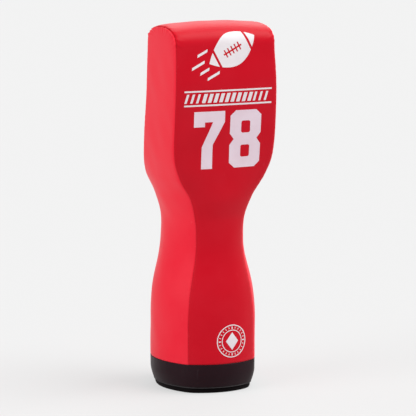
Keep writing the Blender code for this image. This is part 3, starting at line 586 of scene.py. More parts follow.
def plan(z, count, rounds=BODY_ROUNDS):
    """A closed outline round the body at a level, from the front's middle, and its normals.

    The more rounds of smoothing, the softer its four corners.
    """
    seam, front_y, back_y, bulge, side = (float(v) for v in edges_at(z))
    rise = max(z - CROWN_START, 0.0) / CROWN_RISE
    full = max(1.0 - rise**CROWN_POWER, 0.0) ** (1.0 / CROWN_POWER)
    middle, reach = (front_y + back_y) / 2.0, (back_y - front_y) / 2.0 * full
    u = np.linspace(-1.0, 1.0, 81)[:-1]
    face = np.stack([seam * u, -reach - bulge * full * (1.0 - u**2)], -1)
    flank = np.stack([seam + side * full * (1.0 - u**2), reach * u], -1)
    half = np.concatenate([face[40:], flank, -face[:40]])
    outline = around(np.concatenate([half, -half]) + [0.0, middle], 720)
    for _ in range(rounds):
        outline = outline / 2.0 + (np.roll(outline, 1, 0) + np.roll(outline, -1, 0)) / 4.0
    outline = around(outline, count)
    along = unit(np.roll(outline, -1, 0) - np.roll(outline, 1, 0))
    return outline, np.stack([along[:, 1], -along[:, 0]], -1)


def around(outline, count):
    """Even points round a closed outline."""
    line = closed(outline)
    run = run_of(line)
    places = np.linspace(0.0, run[-1], count + 1)[:-1]
    return np.stack([np.interp(places, run, line[:, k]) for k in range(2)], -1)


def boot_ring(z, inset):
    """A ring of the boot: it has the body's corners at its top and is rounder below."""
    lower = float(smoothstep((BOOT_TOP - z) / ROUNDED_FROM))
    rounds = BODY_ROUNDS + int((SOFT_ROUNDS - BODY_ROUNDS) * lower)
    outline, normals = plan(BOOT_TOP, BOOT_POINTS, rounds)
    return np.column_stack([outline - normals * inset, np.full(BOOT_POINTS, z)])


# Finishes

class Nodes:
    """The nodes of one material or node group, and the ways to add to them."""

    def __init__(self, tree):
        self.tree = tree

    def feed(self, value, socket):
        """Link a socket to an output, or set its plain value; a colour is three numbers."""
        if isinstance(value, bpy.types.NodeSocket):
            self.tree.links.new(value, socket)
        else:
            socket.default_value = (*value, 1.0) if socket.type == "RGBA" else value

    def add(self, kind, inputs=None, **settings):
        """A shader node's outputs; its inputs are given by name or number."""
        made = self.tree.nodes.new("ShaderNode" + kind)
        for key, value in settings.items():
            setattr(made, key, value)
        for key, value in (inputs or {}).items():
            self.feed(value, made.inputs[key])
        return made.outputs

    def maths(self, operation, first, second=0.0, clamp=False):
        return self.add("Math", {0: first, 1: second}, operation=operation, use_clamp=clamp)[0]

    def times(self, first, second):
        return self.maths("MULTIPLY", first, second)

    def plus(self, first, second, clamp=False):
        return self.maths("ADD", first, second, clamp)

    def mixed(self, share, first, second):
        """A colour between two others."""
        return self.add("Mix", {0: share, 6: first, 7: second}, data_type="RGBA")[2]

    def faded(self, value, low, high, start=0.0, end=1.0):
        """A value run from low..high to start..end, smoothly."""
        inputs = {"Value": value, "From Min": low, "From Max": high, "To Min": start,
                  "To Max": end}
        return self.add("MapRange", inputs, interpolation_type="SMOOTHSTEP")["Result"]

    def noise(self, vector, scale, detail=2.0, roughness=0.5, distortion=0.0):
        inputs = {"Vector": vector, "Scale": scale, "Detail": detail, "Roughness": roughness,
                  "Distortion": distortion}
        return self.add("TexNoise", inputs)["Fac"]

    def stretched(self, vector, scale):
        return self.add("Mapping", {"Vector": vector, "Scale": scale})["Vector"]

    def stored(self, name):
        """A value that is stored on the piece's points."""
        return self.add("Attribute", attribute_name=name)["Fac"]

    def effect(self, name, **inputs):
        """One of the shared effects, with this material's values; gives its outputs."""
        made = self.tree.nodes.new("ShaderNodeGroup")
        made.node_tree = bpy.data.node_groups[name]
        for key, value in inputs.items():
            self.feed(value, made.inputs[key.replace("_", " ")])
        return made.outputs


class Material(Nodes):
    """A material with plain values to start from, and Object coordinates as its place."""

    def __init__(self, name, specular=0.5, metallic=0.0):
        self.material = bpy.data.materials.new(name)
        self.material.use_nodes = True
        super().__init__(self.material.node_tree)
        self.shader = self.tree.nodes["Principled BSDF"]
        self.shader.inputs["Specular IOR Level"].default_value = specular
        self.shader.inputs["Metallic"].default_value = metallic
        self.place = self.add("TexCoord")["Object"]

    def finished(self, color, roughness, height):
        bump = self.add("Bump", {"Height": height, "Strength": 1.0, "Distance": 1.0})
        for label, value in (("Base Color", color), ("Roughness", roughness),
                             ("Normal", bump["Normal"])):
            self.feed(value, self.shader.inputs[label])
        return self.material


def new_effect(name, inputs, outputs):
    """A node group; an input starts at a number or a colour, or is a place and has None."""
    tree = bpy.data.node_groups.new(name, "ShaderNodeTree")
    for label, value in inputs.items():
        kind = "Vector" if value is None else "Color" if isinstance(value, tuple) else "Float"
        socket = tree.interface.new_socket(label, in_out="INPUT",
                                           socket_type="NodeSocket" + kind)
        if value is not None:
            socket.default_value = value
    for label in outputs:
        kind = "Color" if label == "Color" else "Float"
        tree.interface.new_socket(label, in_out="OUTPUT", socket_type="NodeSocket" + kind)
    given = tree.nodes.new("NodeGroupInput").outputs
    return Nodes(tree), given, tree.nodes.new("NodeGroupOutput").inputs


def new_vinyl_relief():
    """The embossed grain of coated cloth, with the cloth's slow ripple under it."""
    nodes, given, made = new_effect("vinyl relief", {"Vector": None, "Grain": 620.0,
                                                     "Depth": 1.0}, ["Height"])
    place = given["Vector"]
    cells = nodes.add("TexVoronoi", {"Vector": place, "Scale": given["Grain"],
                                     "Randomness": 0.9}, feature="SMOOTH_F1")
    pebbles = nodes.times(cells["Distance"], 0.00006)
    threads = nodes.times(nodes.noise(place, 240.0, 3.0, 0.55), 0.00007)
    ripple = nodes.times(nodes.noise(place, 26.0, 2.0, 0.4), 0.00035)
    total = nodes.plus(nodes.plus(pebbles, threads), ripple)
    nodes.feed(nodes.times(total, given["Depth"]), made["Height"])


def new_wear_and_seam_shade():
    """Colour and roughness that use leaves: fading, rubbed patches, scuffs, and painted shade
    darkening the seams.
    """
    nodes, given, made = new_effect("wear and seam shade", {
        "Vector": None, "Color": (0.5, 0.5, 0.5, 1.0), "Rubbed": (0.6, 0.6, 0.6, 1.0),
        "Seam Distance": 1.0, "Roughness": 0.4, "Scuffs": 0.3}, ["Color", "Roughness"])
    patch = nodes.faded(nodes.noise(given["Vector"], 5.0, 3.0, 0.55), 0.35, 0.68)
    color = nodes.mixed(nodes.times(patch, 0.10), given["Color"], given["Rubbed"])
    streaks = nodes.stretched(given["Vector"], (34.0, 34.0, 6.0))
    marks = nodes.faded(nodes.noise(streaks, 2.4, 4.0, 0.62, 0.6), 0.66, 0.74)
    marks = nodes.times(marks, given["Scuffs"])
    color = nodes.mixed(marks, color, given["Rubbed"])
    # Painted shade: the colour darkens towards the seams, where shade falls in the grooves; the
    # roughness rises there too.
    painted_seam_shade = nodes.faded(given["Seam Distance"], 0.0006, 0.0046, 1.0, 0.0)
    painted_seam_shade = nodes.times(painted_seam_shade, 0.12)
    dark = nodes.add("HueSaturation", {"Color": color, "Value": 0.30, "Saturation": 1.05})
    nodes.feed(nodes.mixed(painted_seam_shade, color, dark["Color"]), made["Color"])
    rough = nodes.plus(given["Roughness"], nodes.times(patch, 0.05))
    rough = nodes.plus(rough, nodes.times(marks, 0.18))
    rough = nodes.plus(rough, nodes.times(painted_seam_shade, 0.25), clamp=True)
    nodes.feed(rough, made["Roughness"])


def new_weave():
    """Plain weave of flat yarns from distances along and across a strap or tape."""
    nodes, given, made = new_effect("weave", {"Along": 0.0, "Across": 0.0, "Yarn": 0.0012},
                                    ["Height", "Tone"])
    turn = nodes.maths("DIVIDE", math.pi, given["Yarn"])
    along, across = (nodes.times(given[label], turn) for label in ("Along", "Across"))
    slant = nodes.plus(along, nodes.times(across, 0.5))
    warp, weft = (nodes.maths("ABSOLUTE", nodes.maths("SINE", v)) for v in (across, slant))
    over = nodes.times(warp, weft)
    nodes.feed(nodes.times(over, 0.00022), made["Height"])
    nodes.feed(nodes.faded(over, 0.0, 0.6, 0.55, 1.0), made["Tone"])


def new_worn_metal():
    """Tone, roughness and fine scratches of a plated or cast metal piece."""
    nodes, given, made = new_effect("worn metal", {
        "Vector": None, "Color": (0.5, 0.5, 0.5, 1.0), "Dull": (0.3, 0.3, 0.3, 1.0),
        "Roughness": 0.3}, ["Color", "Roughness", "Height"])
    dull = nodes.faded(nodes.noise(given["Vector"], 180.0, 4.0, 0.6), 0.45, 0.72)
    streaks = nodes.stretched(given["Vector"], (900.0, 900.0, 90.0))
    lines = nodes.noise(streaks, 1.0, 2.0, 0.5)
    color = nodes.mixed(nodes.times(dull, 0.6), given["Color"], given["Dull"])
    nodes.feed(color, made["Color"])
    rough = nodes.plus(given["Roughness"], nodes.times(dull, 0.22))
    rough = nodes.plus(rough, nodes.times(lines, 0.08), clamp=True)
    nodes.feed(rough, made["Roughness"])
    nodes.feed(nodes.times(lines, 0.00002), made["Height"])


def vinyl(name, color, rubbed, rough, specular, grain=620.0, depth=1.0, scuffs=0.25, seams=True):
    """Coated cloth: embossed grain, wear marks and, beside seams, painted shade."""
    nodes = Material(name, specular)
    # The distance from the seams drives the painted shade in the colour.
    beside = nodes.stored("seam_distance") if seams else 1.0
    worn = nodes.effect("wear and seam shade", Vector=nodes.place, Color=color, Rubbed=rubbed,
                        Seam_Distance=beside, Roughness=rough, Scuffs=scuffs)
    relief = nodes.effect("vinyl relief", Vector=nodes.place, Grain=grain, Depth=depth)
    return nodes.finished(worn["Color"], worn["Roughness"], relief["Height"])


def printed_film(name, color, worn_color):
    """Screen printed ink: the cloth's grain shows through, with slight wear."""
    nodes = Material(name, 0.25)
    relief = nodes.effect("vinyl relief", Vector=nodes.place, Grain=620.0, Depth=0.8)
    cloud = nodes.noise(nodes.place, 9.0, 4.0, 0.6)
    specks = nodes.faded(nodes.noise(nodes.place, 420.0, 3.0, 0.7), 0.70, 0.78)
    share = nodes.plus(nodes.times(nodes.faded(cloud, 0.35, 0.7), 0.25),
                       nodes.times(specks, 0.35), clamp=True)
    return nodes.finished(nodes.mixed(share, color, worn_color),
                          nodes.faded(cloud, 0.3, 0.7, 0.42, 0.52), relief["Height"])


def woven(name, color, light, yarn, rough=0.85):
    """Woven webbing or tape, from the distances stored along and across it."""
    nodes = Material(name, 0.25)
    cloth = nodes.effect("weave", Along=nodes.stored("along"), Across=nodes.stored("across"),
                         Yarn=yarn)
    fuzz = nodes.noise(nodes.place, 900.0, 3.0, 0.7)
    tone = nodes.times(cloth["Tone"], nodes.faded(fuzz, 0.2, 0.8, 0.6, 1.2))
    return nodes.finished(nodes.mixed(tone, color, light),
                          nodes.faded(fuzz, 0.2, 0.8, rough - 0.08, rough + 0.08),
                          cloth["Height"])


def moulded_rubber(name, color, light, specular=0.3):
    """Matte rubber with a fine mould texture, paler where it has rubbed on the ground."""
    nodes = Material(name, specular)
    cloud = nodes.noise(nodes.place, 14.0, 4.0, 0.6)
    return nodes.finished(nodes.mixed(nodes.faded(cloud, 0.4, 0.75, 0.0, 0.7), color, light),
                          nodes.faded(cloud, 0.3, 0.7, 0.55, 0.72),
                          nodes.times(nodes.noise(nodes.place, 700.0), 0.0001))


def foam(name, color, light, cell):
    """Cut foam: round cells of uneven size."""
    nodes = Material(name, 0.2)
    cells = nodes.add("TexVoronoi", {"Vector": nodes.place, "Scale": 1.0 / cell})["Distance"]
    cloud = nodes.noise(nodes.place, 18.0, 3.0, 0.6)
    share = nodes.times(nodes.faded(cells, 0.1, 0.6), nodes.faded(cloud, 0.3, 0.7, 0.6, 1.0))
    return nodes.finished(nodes.mixed(share, color, light),
                          nodes.faded(cloud, 0.3, 0.7, 0.85, 0.98),
                          nodes.times(cells, cell * 0.5))


def metal(name, color, dull, rough):
    nodes = Material(name, 0.5, 1.0)
    worn = nodes.effect("worn metal", Vector=nodes.place, Color=color, Dull=dull,
                        Roughness=rough)
    return nodes.finished(worn["Color"], worn["Roughness"], worn["Height"])


def moulded_plastic(name, color, light, rough, specular=0.4):
    """Moulded nylon or polyester: small mould marks and a rubbed top."""
    nodes = Material(name, specular)
    cloud = nodes.noise(nodes.place, 260.0, 3.0, 0.6)
    return nodes.finished(nodes.mixed(nodes.faded(cloud, 0.4, 0.75, 0.0, 0.6), color, light),
                          nodes.faded(cloud, 0.3, 0.7, rough, rough + 0.15),
                          nodes.times(nodes.noise(nodes.place, 1500.0), 0.00002))


new_vinyl_relief()
new_wear_and_seam_shade()
new_weave()
new_worn_metal()

FRONT_VINYL = vinyl("front vinyl", (0.565, 0.0012, 0.0125), (0.66, 0.03, 0.05), 0.40, 0.12)
# The sides' paler red is partly the cover's two tones and partly painted light: a brighter copy
# of the front's red that stands in for stronger light and sheen on the sides.
SIDE_VINYL = vinyl("side vinyl", (0.840, 0.014, 0.036), (0.88, 0.10, 0.12), 0.40, 0.12)
BOOT_VINYL = vinyl("boot vinyl", (0.0142, 0.0030, 0.0058), (0.04, 0.03, 0.035), 0.42, 0.10,
                   grain=460.0, depth=1.6, scuffs=0.4)
PATCH_VINYL = vinyl("patch vinyl", (0.014, 0.012, 0.013), (0.06, 0.055, 0.055), 0.48, 0.35,
                    grain=460.0, depth=1.6, scuffs=0.4, seams=False)
GRIP_VINYL = vinyl("grip vinyl", (0.016, 0.014, 0.015), (0.07, 0.065, 0.065), 0.50, 0.35,
                   grain=420.0, depth=2.0, scuffs=0.6, seams=False)
PRINT_INK = printed_film("print ink", (0.80, 0.66, 0.74), (0.70, 0.45, 0.52))
WHITE_INK = printed_film("white ink", (0.80, 0.765, 0.785), (0.70, 0.54, 0.60))
WEBBING = woven("webbing", (0.006, 0.006, 0.007), (0.030, 0.028, 0.030), 0.0013)
ZIP_CLOTH = woven("zip cloth", (0.006, 0.006, 0.007), (0.026, 0.024, 0.026), 0.0007)
# The sole's near-black is partly black rubber and partly painted shade: it is darkened to the
# tone of the shade under the boot.
SOLE_RUBBER = moulded_rubber("sole rubber", (0.0030, 0.0016, 0.0020), (0.012, 0.009, 0.010),
                             0.05)
# The welt's tone is a little paler than the boot, partly as a painted highlight along the hem.
WELT_RUBBER = moulded_rubber("welt", (0.016, 0.011, 0.013), (0.05, 0.042, 0.045), 0.35)
CORE_FOAM = foam("core foam", (0.50, 0.49, 0.46), (0.66, 0.65, 0.62), 0.0011)
PAD_FOAM = foam("pad foam", (0.62, 0.55, 0.26), (0.82, 0.76, 0.45), 0.0016)
BALLAST = moulded_rubber("ballast", (0.025, 0.024, 0.024), (0.06, 0.058, 0.055))
TEETH = moulded_plastic("zip teeth", (0.010, 0.010, 0.011), (0.05, 0.05, 0.05), 0.35)
THREAD = moulded_plastic("thread", (0.13, 0.125, 0.125), (0.22, 0.215, 0.21), 0.55)
RED_THREAD = moulded_plastic("red thread", (0.50, 0.004, 0.014), (0.66, 0.05, 0.06), 0.60, 0.10)
ZINC = metal("zinc", (0.60, 0.60, 0.61), (0.40, 0.40, 0.41), 0.26)
BRASS = metal("brass", (0.72, 0.53, 0.23), (0.48, 0.35, 0.17), 0.24)


# Cover


def as_sheet(obj, points, node_name, thickness=SHEET):
    """Thicken a sheet inwards, smooth it, put it on its body and hide the CAD node that it stands
    for.
    """
    thicken(obj, thickness)
    smooth(obj)
    hand_over(obj, node_name)


def dip_ends(points, normals, nearest, rows):
    """Draw the band's sheet into the seams across its two ends."""
    run = strip.run[rows, None]
    for end in (0, -1):
        from_end = np.abs(run - run[end])
        points -= normals * end_shift(from_end)[..., None]
        nearest = np.minimum(nearest, from_end)
    return nearest


def make_front():
    rows = np.arange(0, strip.back_start + 1)
    points, normals, nearest = band_points(rows, band_shares(rows, 26))
    nearest = dip_ends(points, normals, nearest, rows)
    obj = grid_piece("cover_front", points, FRONT_VINYL, {"seam_distance": nearest})
    as_sheet(obj, points, "front_panel")


# The zip in the back: half width of its opening, foot, directions, length, ends of the opening
ZIP_SLOT = 0.0075
ZIP_FOOT = Vector((0.0, 0.205951, 0.17))
ZIP_OUT = Vector((0.0, 0.999418, 0.034126))
ZIP_UP = Vector((0.0, -0.034126, 0.999418))
ZIP_LENGTH = 0.504
SLOT_ENDS = (-0.004, 0.496)
CUT_DEPTH = 0.012

# The folded hem round it: the back's points from the middle, levels of its ends, rise, slope
HEM = (0.0185, 0.0165, 0.0145, 0.011, ZIP_SLOT + 0.0014, ZIP_SLOT + 0.0002)
FOLD_ENDS = (0.141, 0.682)
FOLD_RISE = 0.0008
FOLD_SLOPES = (0.002, 0.004)

# Vents: level and distance from the middle, and the radius of their holes
VENTS = ((1.2416, -0.05739), (1.2416, 0.05739), (0.14, -0.07656), (0.14, 0.07656))
VENT_HOLE = 0.0048


def zip_place(x, out, up):
    return Vector((x, 0.0, 0.0)) + ZIP_FOOT + ZIP_OUT * out + ZIP_UP * up


def cut(obj, cutter, operation="DIFFERENCE"):
    modify(obj, "BOOLEAN", operation=operation, object=cutter, solver="EXACT")
    bpy.data.objects.remove(cutter)


def box_at(name, size, matrix=Matrix.Identity(4)):
    """A box primitive of a size, placed by a matrix."""
    obj = primitive(name, bpy.ops.mesh.primitive_cube_add, size=1.0)
    return settle(obj, matrix @ Matrix.Diagonal((*size, 1.0)))


def rod_at(name, radius, depth, matrix, steps=32):
    obj = primitive(name, bpy.ops.mesh.primitive_cylinder_add, radius=radius, depth=depth,
                    vertices=steps)
    return settle(obj, matrix)


def vent_frame(z, x):
    place, normal = surface.at(x, surface.back_run(z))
    return frame_of(place, (0.0, 0.0, 1.0), normal)


def make_back():
    rows = np.arange(strip.back_start, len(strip.half))
    share = band_shares(rows, 22, HEM)
    points, normals, nearest = band_points(rows, share)
    nearest = dip_ends(points, normals, nearest, rows)
    z = points[..., 2]
    (low, high), (aside, along) = FOLD_ENDS, FOLD_SLOPES
    beside_zip = smoothstep((z - low) / along) * smoothstep((high - z) / along)
    fold = smoothstep((HEM[0] - np.abs(points[..., 0])) / aside) * beside_zip
    points += normals * (fold * FOLD_RISE)[..., None]
    obj = grid_piece("cover_back", points, FRONT_VINYL, {"seam_distance": nearest})
    as_sheet(obj, points, "back_panel")
    middle = zip_place(0.0, 0.0, sum(SLOT_ENDS) / 2.0)
    openings = box_at("openings", (2.0 * ZIP_SLOT, SLOT_ENDS[1] - SLOT_ENDS[0], CUT_DEPTH),
                      frame_of(middle, ZIP_UP, ZIP_OUT))
    holes = [rod_at("hole", VENT_HOLE, CUT_DEPTH, vent_frame(*vent)) for vent in VENTS]
    select_only(openings, *holes)
    bpy.ops.object.join()
    cut(obj, openings)
    smooth(obj)


def side_x(y, z):
    """Half width of the side's surface at places in the side view."""
    seam, front_y, back_y, _, side = edges_at(z)
    across = (y - (front_y + back_y) / 2.0) / ((back_y - front_y) / 2.0)
    over = np.maximum(z - CROWN_START, 0.0) / CROWN_RISE
    reach = np.abs(across) ** CROWN_POWER + over ** CROWN_POWER
    share = np.where(over > 0, reach ** (2.0 / CROWN_POWER), across**2)
    return seam + side * np.maximum(1.0 - share, 0.0)


def make_side(name, sign, node_name):
    """A side's sheet, in rows along its seam and columns in to its middle line."""
    rows = np.arange(len(strip.half))
    edge, middle = strip.edge, strip.middle(strip.edge)
    reach = np.linalg.norm(middle - edge, axis=1)
    distance = distances(reach, 20)
    inward = (middle - edge)[:, None, :] / reach[:, None, None]
    y, z = np.moveaxis(edge[:, None, :] + inward * distance[..., None], -1, 0)
    x = side_x(y, z)
    x = x + (strip.half[:, None] - x[:, :1]) * np.maximum(1.0 - distance / UNEVEN_FROM, 0.0)
    uneven = swell(y, z, 7 if sign > 0 else 9) * SIDE_UNEVEN
    x = x + uneven * smoothstep(distance / UNEVEN_FROM)
    points = np.stack([x, y, z], -1)
    shift = seam_shift(distance, rows, sign, ALLOWANCE)
    points += strip.into[:, None, :] * shift[..., None]
    from_boot = z - BOOT_TOP
    points[..., 0] -= end_shift(from_boot)
    points[..., 0] *= sign
    nearest = np.minimum(distance, from_boot)
    if sign < 0:
        points, nearest = points[::-1], nearest[::-1]
    obj = grid_piece(name, points, SIDE_VINYL, {"seam_distance": nearest})
    edit(obj, lambda: weld(1e-4))
    half = len(points) // 2
    outline = np.concatenate([points[:half], points[:half:-1][:half, ::-1]], 1)
    as_sheet(obj, outline, node_name)


# Boot

# Heights of the boot's lowest rings above its bottom edge
FOOT_NEAR = np.array([0, 0.8, 1.8, 3.2, 5, 7.5, 10.5, 14, 17.5, 21]) * 0.001


def make_boot():
    below = BOOT_TOP - np.concatenate([NEAR, np.linspace(NEAR[-1], 0.062, 7)[1:]])
    above = BOOT_BOTTOM + FOOT_NEAR
    levels = np.concatenate([above, below[::-1]])
    run = np.arange(BOOT_POINTS) / BOOT_POINTS * BOOT_GIRTH
    puckers = waves(run, (0.022, 0.031, 0.045), 31) * 0.0003
    rings, nearest = [], []
    for z in levels:
        top, foot = BOOT_TOP - z, z - BOOT_BOTTOM
        pucker = puckers * (math.exp(-top / 0.012) + math.exp(-foot / 0.009))
        dip = float(end_shift(top)) + 0.6 * float(end_shift(foot))
        rings.append(boot_ring(z, (float(edge_inset(z)) + dip - pucker)[:, None]))
        nearest.append(min(top, foot))
    rings = np.array(rings)
    near = {"seam_distance": np.array(nearest)[:, None]}
    obj = ring_piece("boot_cover", rings, BOOT_VINYL, near, capped=False)
    as_sheet(obj, closed(rings, 1), "boot_wall", BOOT_SHEET)


def make_welt():
    """The piping between the boot and its sole: a torus drawn to the boot's outline."""
    count, steps, radius = 256, 12, 0.2
    obj = primitive("boot_piping", bpy.ops.mesh.primitive_torus_add, major_segments=count,
                    minor_segments=steps, major_radius=radius, minor_radius=WELT_RADIUS)
    points = points_of(obj)
    outline, normals = plan(BOOT_TOP, count, SOFT_ROUNDS)
    outline = outline - normals * (float(edge_inset(WELT_LEVEL)) + WELT_INSET)
    ring = np.repeat(np.arange(count), steps)
    reach = np.hypot(points[:, 0], points[:, 1]) - radius
    points[:, :2] = outline[ring] + normals[ring] * reach[:, None]
    points[:, 2] += WELT_LEVEL
    move_points(obj, points)
    paint(obj, WELT_RUBBER)
    smooth(obj)
    hand_over(obj, "boot_welt")


# Section of the sole, from its flat bottom round its rim into its hollow: level, inset
SOLE_STEPS = ((0.0, 0.0236), (0.0003, 0.0222), (0.0012, 0.0205), (0.0028, 0.0190),
              (0.0050, 0.0179), (0.0078, 0.0172), (0.0108, 0.0170), (0.0138, 0.0174),
              (0.0160, 0.0183), (0.0174, 0.0198), (SOLE_RIM, 0.0216), (0.0160, 0.0235),
              (0.0100, 0.0245), (0.0034, 0.0330))


def make_sole():
    """The rubber tray under the boot: an outline extruded and drawn in, step by step."""
    obj = primitive("sole_tray", bpy.ops.mesh.primitive_circle_add, vertices=BOOT_POINTS,
                    radius=0.2, fill_type="NOTHING")
    outline, normals = plan(BOOT_TOP, BOOT_POINTS, SOFT_ROUNDS)
    flat = outline - normals * SOLE_STEPS[0][1]
    move_points(obj, np.column_stack([flat, np.zeros(BOOT_POINTS)]))
    half = outline.max(axis=0)

    def draw_section():
        for (z, inset), (next_z, next_inset) in zip(SOLE_STEPS, SOLE_STEPS[1:]):
            draw_rim(next_z - z, [(size - next_inset) / (size - inset) for size in half])

    edit(obj, draw_section)
    paint(obj, SOLE_RUBBER)
    edit(obj, fill_ends, face_out)
    smooth(obj, 32.0)
    hand_over(obj, "sole")


# Foam core

FOAM_POINTS = 160
FOAM_INSET = 0.0095
PAD_HALF = 0.160
PAD_LEVELS = (0.893, 1.304)
PAD_THICKNESS = 0.034
PAD_GAP = 0.004
PAD_GAP_BEHIND = 0.002
PAD_SINK = 0.001


def foam_rings(levels, recess):
    """Rings of a foam block inside the cover, with or without the strike pad's recess."""
    rings = []
    for z in levels:
        outline, normals = plan(max(z, BOOT_TOP), FOAM_POINTS)
        soft = float(edge_inset(z)) if z < EDGE_HEIGHT else 0.0
        outline = outline - normals * (FOAM_INSET + soft)
        if recess and PAD_LEVELS[0] - PAD_GAP < z < PAD_LEVELS[1] + PAD_GAP:
            behind = (np.abs(outline[:, 0]) < PAD_HALF + PAD_GAP) & (normals[:, 1] < -0.5)
            outline[behind, 1] += PAD_THICKNESS + PAD_GAP_BEHIND
        rings.append(np.column_stack([outline, np.full(FOAM_POINTS, z)]))
    return rings


def soft_ends(low, high, radius=0.008, count=40):
    """Levels of a block, with insets that round its two ends."""
    turn = np.linspace(0.0, math.pi / 2.0, 5)
    levels = np.concatenate([low + radius * (1.0 - np.cos(turn)),
                             np.linspace(low + radius, high - radius, count)[1:-1],
                             high - radius * (1.0 - np.cos(turn[::-1]))])
    depth = np.minimum(levels - low, high - levels)
    rounding = radius - np.sqrt(np.maximum(radius**2 - np.maximum(radius - depth, 0.0) ** 2, 0.0))
    return levels, rounding


def make_foam(name, low, high, node_name, recess=False):
    levels, rounding = soft_ends(low, high)
    rings = np.array(foam_rings(levels, recess))
    middle = rings.mean(axis=1, keepdims=True)
    towards = unit((rings - middle) * [1.0, 1.0, 0.0])
    rings = rings - towards * rounding[:, None, None]
    obj = ring_piece(name, rings, CORE_FOAM)
    smooth(obj, 50.0)
    hand_over(obj, node_name)


def make_strike_pad():
    front = slice(strip.front_rows)
    low, high = np.interp(PAD_LEVELS, strip.edge[front, 1], strip.run[front])
    run = np.linspace(low, high, 64)[:, None]
    x = np.linspace(-PAD_HALF, PAD_HALF, 48)[None, :]
    points, _ = surface.at(x, run, -FOAM_INSET - PAD_SINK)
    obj = grid_piece("foam_strike_pad", points, PAD_FOAM)
    thicken(obj, PAD_THICKNESS)
    modify(obj, "BEVEL", width=0.005, segments=3, limit_method="ANGLE")
    smooth(obj, 50.0)
    hand_over(obj, "strike_pad")


# Stitches

def make_stitch(material, length=0.0032, radius=0.00038):
    """One stitch: a small rounded bead of thread, its length along Y."""
    obj = primitive("stitch", bpy.ops.mesh.primitive_uv_sphere_add, segments=6, ring_count=5,
                    radius=1.0)
    size = Matrix.Diagonal((radius, length / 2.0, radius, 1.0))
    settle(obj, size @ Matrix.Rotation(math.pi / 2.0, 4, "X"))
    paint(obj, material)
    return obj


def stitch_places(points, normals, pitch):
    """Frames at even steps along a line on a surface."""
    run = run_of(points)
    count = max(int(run[-1] / pitch), 1)
    middles = (np.arange(count) + 0.5) * run[-1] / count
    places = []
    for middle in middles:
        at, before, after = ([np.interp(m, run, points[:, k]) for k in range(3)]
                             for m in (middle, middle - 0.001, middle + 0.001))
        out = [np.interp(middle, run, normals[:, k]) for k in range(3)]
        places.append(frame_of(at, np.array(after) - np.array(before), out))
    return places


# Handles

HANDLE_X = 0.110
SWING_MIDDLE = Vector((0.0, 0.08033, 1.085506))
SWING_UP = Vector((0.0, -0.086284, 0.996271))
SWING_OUT = Vector((0.0, 0.996271, 0.086284))
HALF_SPAN = 0.120449
HANDLE_RISE = 0.0365
HANDLE_ENDS = (0.9646, 1.2046)
GRIP_HALF = 0.056
GRIP_RADIUS = 0.0158
WEB_WIDTH = 0.0194
WEB_THICKNESS = 0.0044
PATCH_SIZE = (0.070, 0.072)
PATCH_THICKNESS = 0.0015
PATCH_REACH = 0.019
TAB_WIDTH = 0.038
TAB_THICKNESS = 0.0026
TAB_LIFT = 0.0038
TAB_ROWS = 9
MOUTH_WIDTH = 0.0214
MOUTH_THICKNESS = 0.0060

# The box of stitches on a tab: its half width, and its ends' distances from the tab's end
BOX_HALF = 0.0145
BOX_ENDS = (0.0385, 0.0205)

# Rings of a patch, from its edge in: share of its size, and lift above the cover
PATCH_RINGS = ((1.0, -0.0006), (0.985, 0.0), (0.955, 0.0), (0.92, -0.0002), (0.86, 0.0003),
               (0.78, 0.0005), (0.66, 0.0005), (0.5, 0.0005), (0.3, 0.0005), (0.1, 0.0005),
               (0.0, 0.0005))
STITCH_RINGS = (0.92, 0.83)


def swing_place(x, out, up):
    return np.array(SWING_MIDDLE + SWING_OUT * out + SWING_UP * up) + [x, 0.0, 0.0]


def flat_strap(name, path, outs, widths, thicknesses, material):
    """A strap of rounded flat section along a path; outs point away from its flat face."""
    across, rise = bent(np.cos(turns(20)), 0.3), bent(np.sin(turns(20)), 0.55)
    along = unit(np.gradient(path, axis=0))
    outs = unit(outs - along * np.sum(outs * along, axis=1, keepdims=True))
    sides = np.cross(along, outs)
    width, thick = (np.broadcast_to(v, len(path))[:, None] for v in (widths, thicknesses))
    rings = (path[:, None] + sides[:, None] * (across * width / 2.0)[..., None]
             + outs[:, None] * (rise * thick / 2.0)[..., None])
    obj = ring_piece(name, rings, material,
                     {"along": run_of(path)[:, None], "across": across * width / 2.0})
    smooth(obj)
    return obj


def rounded_patch(x, run, size, count, steps):
    """Distances across and along of rings that fill a patch with rounded corners."""
    power = 2.0 / 9.0
    across = bent(np.cos(turns(count)), power) * size[0] / 2.0
    along = bent(np.sin(turns(count)), power) * size[1] / 2.0
    scale = np.array(steps)[:, None]
    return x + across * scale, run + along * scale


def make_patch(name, x, middle_run):
    """The vinyl patch under a sewn end, slightly domed, with its two rows of stitches."""
    steps, lift = np.array(PATCH_RINGS).T
    across, along = rounded_patch(x, middle_run, PATCH_SIZE, 112, steps)
    points, normals = surface.at(across, along)
    points = points + normals * (PATCH_THICKNESS + 0.0004 + lift)[:, None, None]
    obj = ring_piece(name + "_vinyl", points[:, ::-1], PATCH_VINYL, capped=False)
    thicken(obj, PATCH_THICKNESS)
    edit(obj, face_out)
    smooth(obj, 50.0)
    hand_over(obj, name)
    places = []
    for scale in STITCH_RINGS:
        across, along = rounded_patch(x, middle_run, PATCH_SIZE, 160, (scale,))
        line, out = surface.at(across[0], along[0], PATCH_THICKNESS + 0.0006)
        places += stitch_places(closed(line), closed(out), 0.0042)
    hand_over(scatter(name + "_stitches", make_stitch(THREAD), places))


